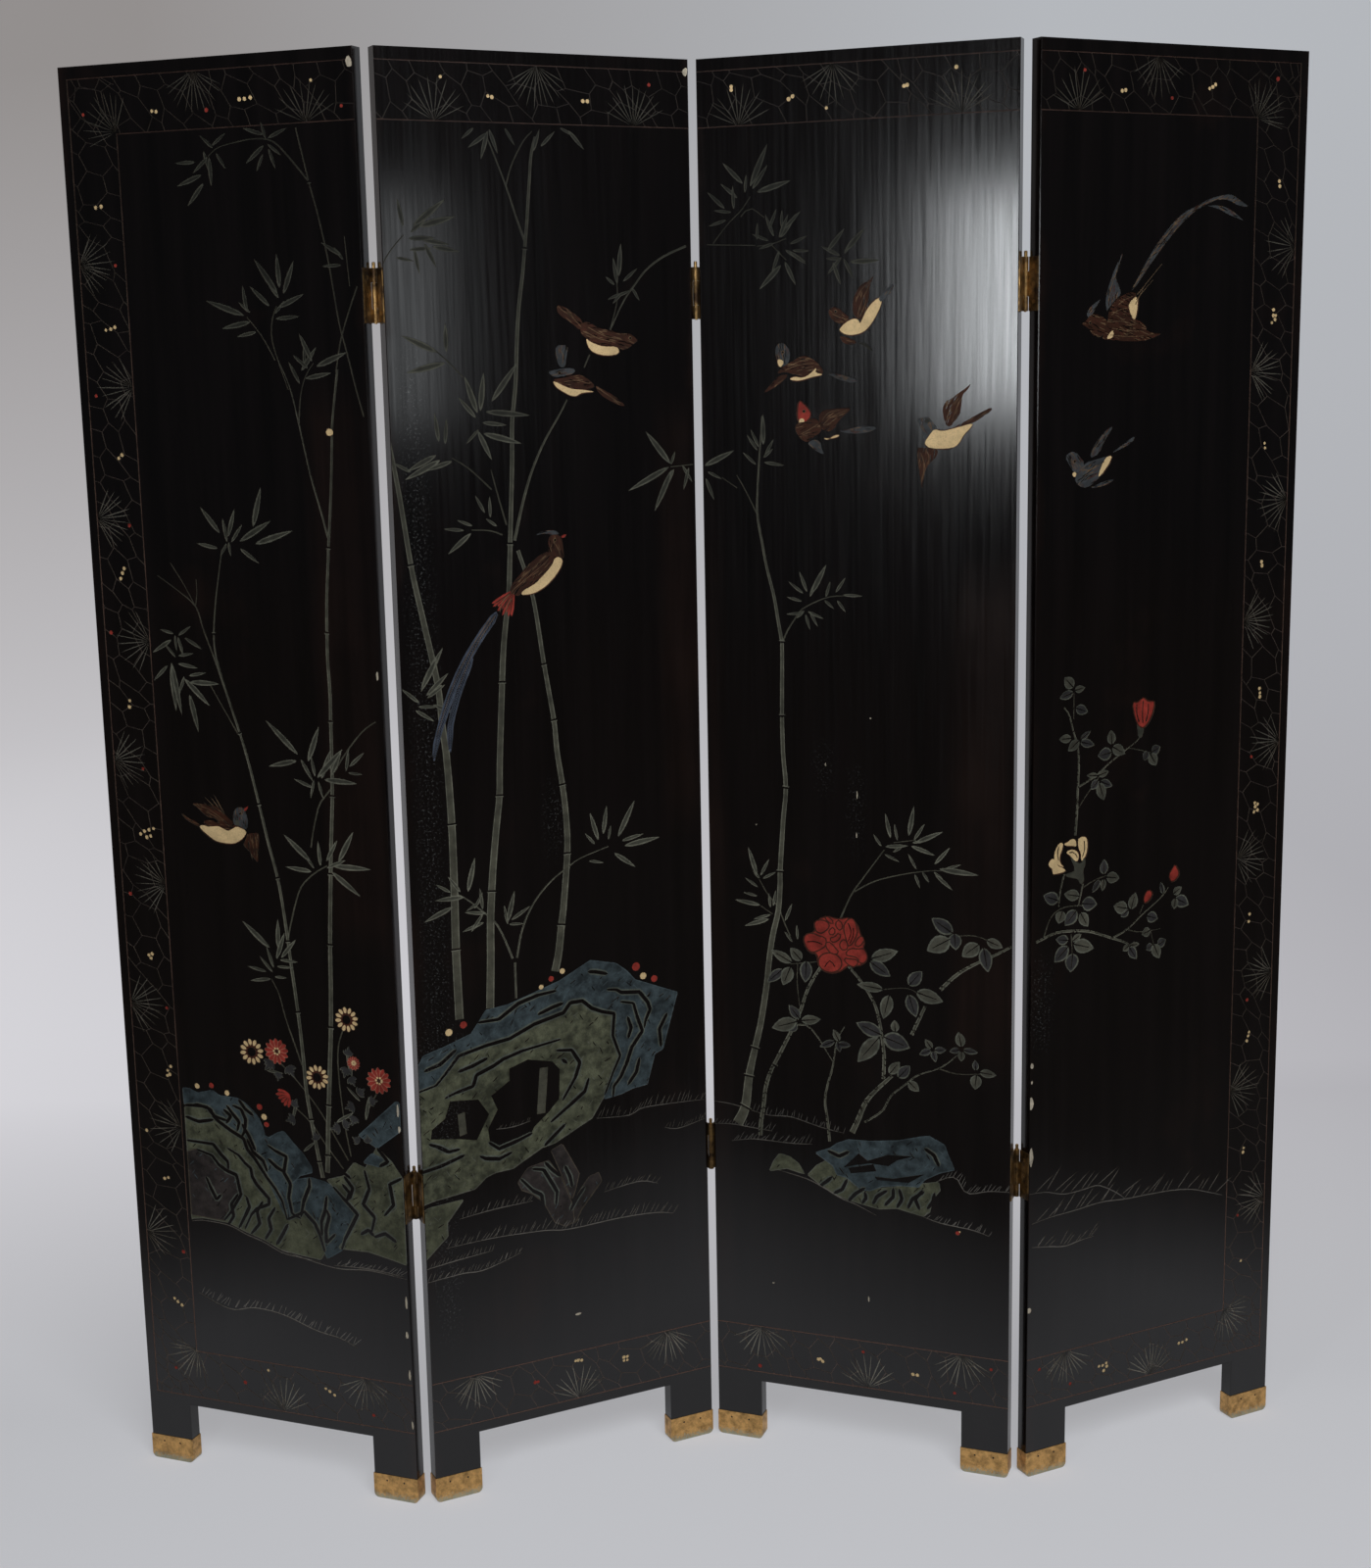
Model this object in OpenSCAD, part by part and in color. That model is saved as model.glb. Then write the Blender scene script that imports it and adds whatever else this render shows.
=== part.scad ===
// Four-panel folding lacquer screen, in millimetres, standing in its zigzag.
// +Z is up and -Y is the carved front. The origin is on the floor, under the middle of the screen.
// Panels 1 to 4 run from left to right as seen from the front. Panels 1 and 2, and 3 and 4,
// fold back to back; panels 2 and 3 fold front to front.
// A panel is drawn lying square to X in its own frame: x runs from its left edge, y from its front
// face towards its back, and z from the floor. It is then turned and set into the zigzag.

/* [Panels] */
// Width of one panel
panel_w = 406; // [300:1:600]
// Height of the screen above the floor
panel_h = 1830; // [1500:10:2400]
// Thickness of the wooden core
core_t = 16; // [12:0.5:30]
// Thickness of the gesso and lacquer on each face
lacquer_t = 1.5; // [0.8:0.1:3]
// Turn of each panel from the straight line of the open screen, in degrees
fold = 23.5; // [8:0.5:40]

/* [Frame] */
// Width of a leg, which is also the width of the stile above it
leg_w = 63; // [45:1:90]
// Height of the gap under the apron
leg_h = 85; // [60:1:160]
// Height of the bottom rail, which is the apron
bottom_rail_h = 80; // [60:1:150]
// Height of the top rail
top_rail_h = 60; // [45:1:120]
// Boards glued up to fill a panel between its stiles
plank_count = 4; // [2:1:6]
// Glue line between two boards
glue_line = 0.1; // [0.05:0.05:0.3]
// Length of a rail's tenon
tenon_l = 30; // [15:1:38]
// Thickness of a tenon
tenon_t = 6; // [4:0.5:10]
// Shoulder left above and below a tenon
tenon_shoulder = 12; // [6:1:20]
// Room for glue at the bottom of a mortise
mortise_room = 0.5; // [0.2:0.1:2]

/* [Brass shoes] */
// Height of a shoe
shoe_h = 34; // [22:1:50]
// Thickness of the shoe's sheet brass
shoe_t = 0.8; // [0.5:0.1:1.5]
// Radius of the shoe's lower corners
shoe_r = 7; // [3:0.5:12]
// Diameter of a shoe nail
nail_d = 1.2; // [0.8:0.1:2]
// Diameter of a shoe nail's head
nail_head_d = 2.6; // [2.2:0.1:4]
// Height of a shoe nail's head
nail_head_h = 0.5; // [0.3:0.1:1]
// Length of a shoe nail under its head
nail_l = 8; // [5:0.5:9]
// Distance from a shoe's top edge down to its nails
nail_drop = 8; // [4:0.5:11]
// Distance from a leg's side in to its nails
nail_in = 19; // [8:1:21]

/* [Hinges] */
// Height of a hinge
hinge_h = 64; // [50:1:100]
// Distance from the top of a panel down to the middle of the upper hinges
upper_hinge_drop = 282; // [130:1:500]
// Distance from the apron up to the middle of the lower hinges
lower_hinge_rise = 335; // [160:1:600]
// Thickness of a leaf
leaf_t = 1.5; // [1:0.1:1.7]
// Strip of a panel's edge left bare beside a leaf
leaf_margin = 1; // [0.5:0.5:2]
// Diameter of the barrel
barrel_d = 7; // [6.4:0.1:10]
// Room between the barrel and the panel's face
barrel_room = 0.5; // [0.3:0.1:2]
// Height of the middle knuckle with the gaps at its ends
middle_knuckle_h = 30; // [16:1:34]
// Gap between two knuckles
knuckle_gap = 0.3; // [0.2:0.1:0.6]
// Diameter of the loose pin
pin_d = 3.4; // [2.8:0.1:3.5]
// Running clearance around the pin, on the radius
pin_play = 0.06; // [0.02:0.01:0.09]
// Diameter of the pin's head
pin_head_d = 4.2; // [3.8:0.1:6]
// Height of the pin's head above the barrel
pin_head_h = 7; // [3:0.5:12]
// Length of pin that shows below the barrel
pin_tail = 1; // [0.5:0.5:3]
// Bevel round the pin's tip
pin_tip_bevel = 0.5; // [0.2:0.1:0.8]
// Bevel round the top of the pin's head
pin_head_bevel = 0.8; // [0.3:0.1:1.2]

/* [Hinge screws] */
// Screws in one leaf
screw_count = 3; // [2:1:3]
// Distance between two screws
screw_pitch = 21; // [15:0.5:21]
// Diameter of a screw
screw_d = 3; // [2.4:0.1:3.4]
// Diameter of a screw's countersunk head
screw_head_d = 5.8; // [5:0.1:6.2]
// Length of a screw
screw_l = 16; // [10:1:25]
// Width of the slot in a screw's head
slot_w = 0.8; // [0.6:0.1:1]
// Depth of the slot in a screw's head
slot_depth = 0.6; // [0.4:0.1:0.8]

/* [Fits] */
// Clearance around a nail or screw in its hole, on the radius
fastener_play = 0.05; // [0.03:0.01:0.1]

/* [Hidden] */
PANELS = [1 : 4];
JOINTS = [1 : 3];
$fn = 48;

panel_t = core_t + 2 * lacquer_t;
leg_x = [0, panel_w - leg_w];
field_w = panel_w - 2 * leg_w;
field_z = leg_h + bottom_rail_h;
field_h = panel_h - top_rail_h - field_z;
plank_w = (field_w - (plank_count + 1) * glue_line) / plank_count;
plank_pitch = plank_w + glue_line;
foot_r = shoe_r - shoe_t;

// The hinge axis lies beside the edge by half the barrel and clear of the face that it folds round
edge_gap = barrel_d / 2;
face_gap = barrel_d / 2 + barrel_room;
leaf_w = panel_t - leaf_margin;
end_knuckle_h = (hinge_h - middle_knuckle_h) / 2;
hinge_low_z = [panel_h - upper_hinge_drop - hinge_h / 2, leg_h + lower_hinge_rise - hinge_h / 2];
screw_z = [for (i = [0 : screw_count - 1]) hinge_h / 2 + (i - (screw_count - 1) / 2) * screw_pitch];
screw_sink = (screw_head_d - screw_d) / 2;
// How far a cutting shape runs past the face it opens
overrun = leaf_t;
// Share of its full thickness that a nail or a screw keeps at its tip
tip_share = 0.25;
// Share of a nail head's width that stays flat on top
crown_share = 0.6;

lacquer_colour = [0.07, 0.055, 0.05];
edge_colour = [0.1, 0.075, 0.065];
wood_colour = [0.66, 0.5, 0.33];
brass_colour = [0.72, 0.52, 0.24];
steel_colour = [0.45, 0.42, 0.38];

// ---- Where the panels stand ----

// Joint j is between panels j and j + 1. A ridge has its barrel at the back, a valley at the front.
function is_ridge(j) = j != 2;
function turn(p) = p % 2 == 1 ? -fold : fold;
function turned(v, angle) = [v.x * cos(angle) - v.y * sin(angle), v.x * sin(angle) + v.y * cos(angle)];
function axis_y(j) = is_ridge(j) ? panel_t + face_gap : -face_gap;
function right_axis(p) = [panel_w + edge_gap, axis_y(p)];
function left_axis(p) = [-edge_gap, axis_y(p - 1)];
function chained(p) = p == 1 ? [0, 0]
    : chained(p - 1) + turned(right_axis(p - 1), turn(p - 1)) - turned(left_axis(p), turn(p));

// The zigzag is a mirror image about joint 2, and reaches from the shoes at joint 1 to those at joint 2
nearest = chained(2) + turned([-shoe_t, -shoe_t], turn(2));
farthest = chained(2) + turned([panel_w + shoe_t, panel_t + shoe_t], turn(2));
middle = [(chained(2) + turned(right_axis(2), turn(2))).x, (nearest.y + farthest.y) / 2];

module in_panel(p) {
    translate(concat(chained(p) - middle, [0]))
        rotate([0, 0, turn(p)])
            children();
}

// ---- Shapes that repeat ----

// Gives an outline drawn in x and z a thickness, from y = front to y = front + thickness
module standing(front, thickness) {
    translate([0, front + thickness, 0])
        rotate([90, 0, 0])
            linear_extrude(thickness)
                children();
}

// A leg's outline with its lower corners rounded to sit in the shoe
module foot_outline(width, bottom, top, radius) {
    translate([0, bottom + radius])
        square([width, top - bottom - radius]);
    translate([radius, bottom])
        square([width - 2 * radius, radius * 2]);
    for (x = [radius, width - radius])
        translate([x, bottom + radius])
            circle(radius);
}

module panel_outline() {
    translate([0, leg_h])
        square([panel_w, panel_h - leg_h]);
    for (x = leg_x)
        translate([x, 0])
            foot_outline(leg_w, shoe_t, leg_h + foot_r, foot_r);
}

module nail(play = 0) {
    cylinder(h = nail_l - nail_d + play, d = nail_d + 2 * play);
    translate([0, 0, nail_l - nail_d + play])
        cylinder(h = nail_d, d1 = nail_d + 2 * play, d2 = nail_d * tip_share);
    if (play == 0)
        translate([0, 0, -nail_head_h])
            cylinder(h = nail_head_h, d1 = nail_head_d * crown_share, d2 = nail_head_d);
}

// Two nails through the front of each leg's shoe and two through the back, pointing into the wood
module nails_at_leg(x, play = 0) {
    for (along = [nail_in, leg_w - nail_in]) {
        translate([x + along, -shoe_t, shoe_h - nail_drop])
            rotate([-90, 0, 0])
                nail(play);
        translate([x + along, panel_t + shoe_t, shoe_h - nail_drop])
            rotate([90, 0, 0])
                nail(play);
    }
}

// A countersunk screw with the top of its head at z = 0, pointing down
module screw(play = 0) {
    difference() {
        union() {
            translate([0, 0, -screw_sink - play])
                cylinder(h = screw_sink + play, d1 = screw_d + 2 * play, d2 = screw_head_d + 2 * play);
            translate([0, 0, screw_d - screw_l])
                cylinder(h = screw_l - screw_d, d = screw_d + 2 * play);
            translate([0, 0, -screw_l - play])
                cylinder(h = screw_d + play, d1 = screw_d * tip_share, d2 = screw_d + 2 * play);
        }
        if (play == 0)
            translate([-screw_head_d / 2, -slot_w / 2, -slot_depth])
                cube([screw_head_d, slot_w, slot_depth + overrun]);
    }
}

// ---- Hinges ----

// A hinge is drawn round its axis, standing on z = 0, for the panel on the left of a ridge:
// the panel's edge is at x = -edge_gap and its back face at y = -face_gap.
// The other three cases are mirror images of it.

module leaf_screws(play = 0) {
    for (z = screw_z)
        translate([leaf_t - edge_gap, -face_gap - panel_t / 2, z])
            rotate([0, 90, 0])
                screw(play);
}

// Plain leaf with its knuckles from low[i] to high[i] rolled round the pin
module leaf(low, high) {
    difference() {
        union() {
            translate([-edge_gap, -face_gap - leaf_w, 0])
                cube([leaf_t, leaf_w, hinge_h]);
            for (i = [0 : len(low) - 1])
                translate([0, 0, low[i]]) {
                    translate([-edge_gap, -face_gap, 0])
                        cube([leaf_t, face_gap, high[i] - low[i]]);
                    cylinder(h = high[i] - low[i], d = barrel_d);
                }
        }
        translate([0, 0, -overrun])
            cylinder(h = hinge_h + 2 * overrun, d = pin_d + 2 * pin_play);
        leaf_screws(fastener_play);
    }
}

// The left leaf of a hinge has the two end knuckles and carries the pin
module left_leaf() {
    leaf([0, hinge_h - end_knuckle_h + knuckle_gap / 2], [end_knuckle_h - knuckle_gap / 2, hinge_h]);
}

module right_leaf() {
    leaf([end_knuckle_h + knuckle_gap / 2], [hinge_h - end_knuckle_h - knuckle_gap / 2]);
}

module pin() {
    rotate_extrude()
        polygon([
            [0, -pin_tail],
            [pin_d / 2 - pin_tip_bevel, -pin_tail],
            [pin_d / 2, pin_tip_bevel - pin_tail],
            [pin_d / 2, hinge_h],
            [pin_head_d / 2, hinge_h],
            [pin_head_d / 2, hinge_h + pin_head_h - pin_head_bevel],
            [pin_head_d / 2 - pin_head_bevel, hinge_h + pin_head_h],
            [0, hinge_h + pin_head_h]
        ]);
}

// Sets what is drawn round a hinge's axis at the right edge of panel j, or the left edge of panel j + 1
module at_right_edge(j, z) {
    translate([panel_w + edge_gap, axis_y(j), z])
        mirror([0, is_ridge(j) ? 0 : 1, 0])
            children();
}

module at_left_edge(j, z) {
    translate([-edge_gap, axis_y(j), z])
        mirror([0, is_ridge(j) ? 0 : 1, 0])
            mirror([1, 0, 0])
                children();
}

// The screws of every hinge on panel p
module panel_screws(p, play = 0) {
    for (z = hinge_low_z) {
        if (p > 1)
            at_left_edge(p - 1, z)
                leaf_screws(play);
        if (p < 4)
            at_right_edge(p, z)
                leaf_screws(play);
    }
}

// ---- The pieces of a panel ----

module rail_with_tenons(z, height, room = 0) {
    translate([leg_w, lacquer_t, z])
        cube([field_w, core_t, height]);
    translate([leg_w - tenon_l - room, (panel_t - tenon_t) / 2, z + tenon_shoulder])
        cube([field_w + 2 * (tenon_l + room), tenon_t, height - 2 * tenon_shoulder]);
}

module stile(p, x) {
    color(edge_colour)
        difference() {
            standing(lacquer_t, core_t)
                translate([x, 0])
                    foot_outline(leg_w, shoe_t, panel_h, foot_r);
            rail_with_tenons(leg_h, bottom_rail_h, mortise_room);
            rail_with_tenons(panel_h - top_rail_h, top_rail_h, mortise_room);
            nails_at_leg(x, fastener_play);
            panel_screws(p, fastener_play);
        }
}

module left_stile(p) stile(p, leg_x[0]);

module right_stile(p) stile(p, leg_x[1]);

module top_rail() {
    color(edge_colour)
        rail_with_tenons(panel_h - top_rail_h, top_rail_h);
}

module bottom_rail() {
    color(edge_colour)
        rail_with_tenons(leg_h, bottom_rail_h);
}

module core_planks() {
    color(wood_colour)
        for (i = [0 : plank_count - 1])
            translate([leg_w + glue_line + i * plank_pitch, lacquer_t, field_z + glue_line])
                cube([plank_w, core_t, field_h - 2 * glue_line]);
}

module lacquer_coat(front) {
    color(lacquer_colour)
        difference() {
            standing(front, lacquer_t)
                panel_outline();
            for (x = leg_x)
                nails_at_leg(x, fastener_play);
        }
}

module front_lacquer() lacquer_coat(0);

module back_lacquer() lacquer_coat(panel_t - lacquer_t);

module shoe(x) {
    color(brass_colour)
        difference() {
            translate([x - shoe_t, 0, 0])
                standing(-shoe_t, panel_t + 2 * shoe_t)
                    foot_outline(leg_w + 2 * shoe_t, 0, shoe_h, shoe_r);
            translate([x, 0, 0])
                standing(0, panel_t)
                    foot_outline(leg_w, shoe_t, shoe_h + foot_r, foot_r);
            nails_at_leg(x, fastener_play);
        }
}

module left_shoe() shoe(leg_x[0]);

module right_shoe() shoe(leg_x[1]);

module shoe_nails() {
    color(steel_colour)
        for (x = leg_x)
            nails_at_leg(x);
}

module hinge_screws(p) {
    color(brass_colour)
        panel_screws(p);
}

// ---- The pieces of a hinge, in the frame of the panel that each is screwed to ----

module leaf_on_left_panel(j, z) {
    color(brass_colour)
        at_right_edge(j, z)
            left_leaf();
}

module leaf_on_right_panel(j, z) {
    color(brass_colour)
        at_left_edge(j, z)
            right_leaf();
}

module hinge_pins(j) {
    color(brass_colour)
        for (z = hinge_low_z)
            at_right_edge(j, z)
                pin();
}

// ---- The whole screen ----

function panel_node(p, piece) = str("panel_", p, "_", piece);
function hinge_node(j, piece) = str("hinge_", j, "_", j + 1, "_", piece);

for (p = PANELS) {
    in_panel(p) core_planks();
    in_panel(p) left_stile(p);
    in_panel(p) right_stile(p);
    in_panel(p) top_rail();
    in_panel(p) bottom_rail();
    in_panel(p) front_lacquer();
    in_panel(p) back_lacquer();
    in_panel(p) left_shoe();
    in_panel(p) right_shoe();
    in_panel(p) shoe_nails();
    in_panel(p) hinge_screws(p);
}

for (j = JOINTS) {
    in_panel(j) leaf_on_left_panel(j, hinge_low_z[0]);
    in_panel(j + 1) leaf_on_right_panel(j, hinge_low_z[0]);
    in_panel(j) leaf_on_left_panel(j, hinge_low_z[1]);
    in_panel(j + 1) leaf_on_right_panel(j, hinge_low_z[1]);
    in_panel(j) hinge_pins(j);
}
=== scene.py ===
"""Four-panel folding screen in black lacquer: carved and coloured fronts, brass hinges and shoes."""
import math
import random

import bpy
import numpy
from bpy.props import FloatProperty, FloatVectorProperty, PointerProperty
from mathutils import Matrix, Vector
from mathutils.geometry import delaunay_2d_cdt


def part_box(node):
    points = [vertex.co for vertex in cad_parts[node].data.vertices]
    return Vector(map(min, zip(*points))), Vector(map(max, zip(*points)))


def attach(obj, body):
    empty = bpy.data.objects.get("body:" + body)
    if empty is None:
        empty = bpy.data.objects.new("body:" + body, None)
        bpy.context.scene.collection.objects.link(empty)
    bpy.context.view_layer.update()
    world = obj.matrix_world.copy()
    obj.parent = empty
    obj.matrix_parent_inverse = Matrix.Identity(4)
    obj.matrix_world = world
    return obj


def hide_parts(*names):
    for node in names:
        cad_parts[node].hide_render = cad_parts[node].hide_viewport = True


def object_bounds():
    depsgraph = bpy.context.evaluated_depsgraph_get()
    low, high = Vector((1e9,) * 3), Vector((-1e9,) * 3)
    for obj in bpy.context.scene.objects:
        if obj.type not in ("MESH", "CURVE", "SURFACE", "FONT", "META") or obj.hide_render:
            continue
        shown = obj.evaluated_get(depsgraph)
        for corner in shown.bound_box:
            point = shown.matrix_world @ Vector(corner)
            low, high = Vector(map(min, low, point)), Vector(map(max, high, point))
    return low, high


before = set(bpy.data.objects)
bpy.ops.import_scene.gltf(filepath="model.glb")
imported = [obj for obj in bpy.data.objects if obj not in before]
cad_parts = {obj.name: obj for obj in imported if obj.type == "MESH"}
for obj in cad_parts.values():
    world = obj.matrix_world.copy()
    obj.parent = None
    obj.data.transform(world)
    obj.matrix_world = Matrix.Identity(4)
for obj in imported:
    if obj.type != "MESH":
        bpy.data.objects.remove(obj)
CAD_BOX = [list(corner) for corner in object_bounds()]

bl_info = {
    "name": "Lacquer folding screen",
    "version": (1, 0, 0),
    "blender": (4, 5, 0),
    "location": "3D View > Sidebar > Screen",
    "description": "Carves, colours and lights a four-panel lacquer folding screen",
    "category": "Object",
}

PANELS = (1, 2, 3, 4)
MM = 0.001
PANEL_HEIGHT = CAD_BOX[1][2] / MM

# ---- What is carved on each panel, in millimetres from its left edge and from the floor ----

# Pine sprigs in the border: where a sprig is rooted, and the way its needles point in degrees
UP, LEFT, DOWN, RIGHT = 90, 180, 270, 0
SPRIGS = {
    1: (
        (13, 329, RIGHT), (13, 649, RIGHT), (13, 973, RIGHT), (13, 1283, RIGHT), (13, 1595, RIGHT),
        (79, 483, LEFT), (79, 813, LEFT), (79, 1129, LEFT), (79, 1445, LEFT), (78, 1750, 135),
        (81, 169, 225), (191, 1815, DOWN), (341, 1748, UP), (211, 99, UP), (337, 166, DOWN),
    ),
    2: (
        (71, 1748, UP), (330, 1748, UP), (203, 1815, DOWN), (61, 166, DOWN), (340, 166, DOWN),
        (207, 99, UP),
    ),
    3: (
        (55, 1748, UP), (336, 1748, UP), (176, 1815, DOWN), (64, 166, DOWN), (343, 166, DOWN),
        (215, 99, UP),
    ),
    4: (
        (393, 1592, LEFT), (393, 1273, LEFT), (393, 956, LEFT), (393, 639, LEFT), (393, 318, LEFT),
        (327, 1437, RIGHT), (327, 1120, RIGHT), (327, 803, RIGHT), (327, 482, RIGHT), (325, 1747, 45),
        (326, 166, 315), (55, 1748, UP), (172, 1815, DOWN), (62, 166, DOWN), (204, 99, UP),
    ),
}

# Cream plum petals and red berries in the border
PETAL_DOTS = {
    1: (
        50, 238, 55, 234, 61, 230, 190, 155, 276, 142, 282, 139, 289, 135, 47, 408, 53, 410, 24, 473,
        68, 566, 63, 560, 66, 555, 62, 553, 46, 716, 51, 718, 49, 712, 46, 878, 52, 882, 59, 884, 66, 886,
        55, 874, 61, 876, 43, 1052, 42, 1044, 48, 1221, 45, 1215, 42, 1208, 51, 1359, 56, 1363, 45, 1516,
        52, 1517, 58, 1519, 42, 1663, 50, 1664, 131, 1772, 137, 1771, 253, 1779, 260, 1779, 268, 1780,
        350, 1795,
    ),
    2: (
        81, 1798, 140, 1778, 145, 1777, 263, 1776, 269, 1776, 203, 153, 207, 153, 212, 152, 274, 142,
        279, 142, 274, 137, 279, 137,
    ),
    3: (
        46, 1795, 46, 1791, 120, 1776, 125, 1779, 168, 1763, 265, 1783, 269, 1784, 329, 1801, 145, 130,
        148, 131, 151, 128, 277, 128, 283, 128,
    ),
    4: (
        118, 1773, 123, 1774, 250, 1780, 255, 1782, 259, 1785, 364, 1672, 365, 1666, 361, 1514, 361, 1507,
        365, 1507, 364, 1502, 359, 1498, 353, 1347, 354, 1341, 354, 1195, 355, 1190, 357, 1029, 358, 1023,
        358, 1018, 355, 876, 360, 874, 356, 871, 360, 866, 354, 864, 352, 725, 351, 715, 357, 560,
        356, 555, 354, 548, 354, 396, 353, 390, 355, 232, 117, 131, 123, 131, 129, 133, 130, 128, 125, 123,
        251, 134, 257, 134, 264, 136,
    ),
}
BERRIES = {
    1: (
        69, 307, 45, 137, 153, 132, 346, 115, 68, 646, 24, 797, 56, 964, 22, 1139, 60, 1275, 24, 1436,
        65, 1593, 33, 1773, 207, 1769, 389, 1764,
    ),
    2: (352, 1798, 144, 136, 148, 136),
    3: (61, 108, 208, 150, 383, 151, 334, 110),
    4: (63, 1795, 193, 1767, 357, 1795, 347, 939, 352, 606, 347, 300, 20, 149, 70, 117),
}

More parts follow.
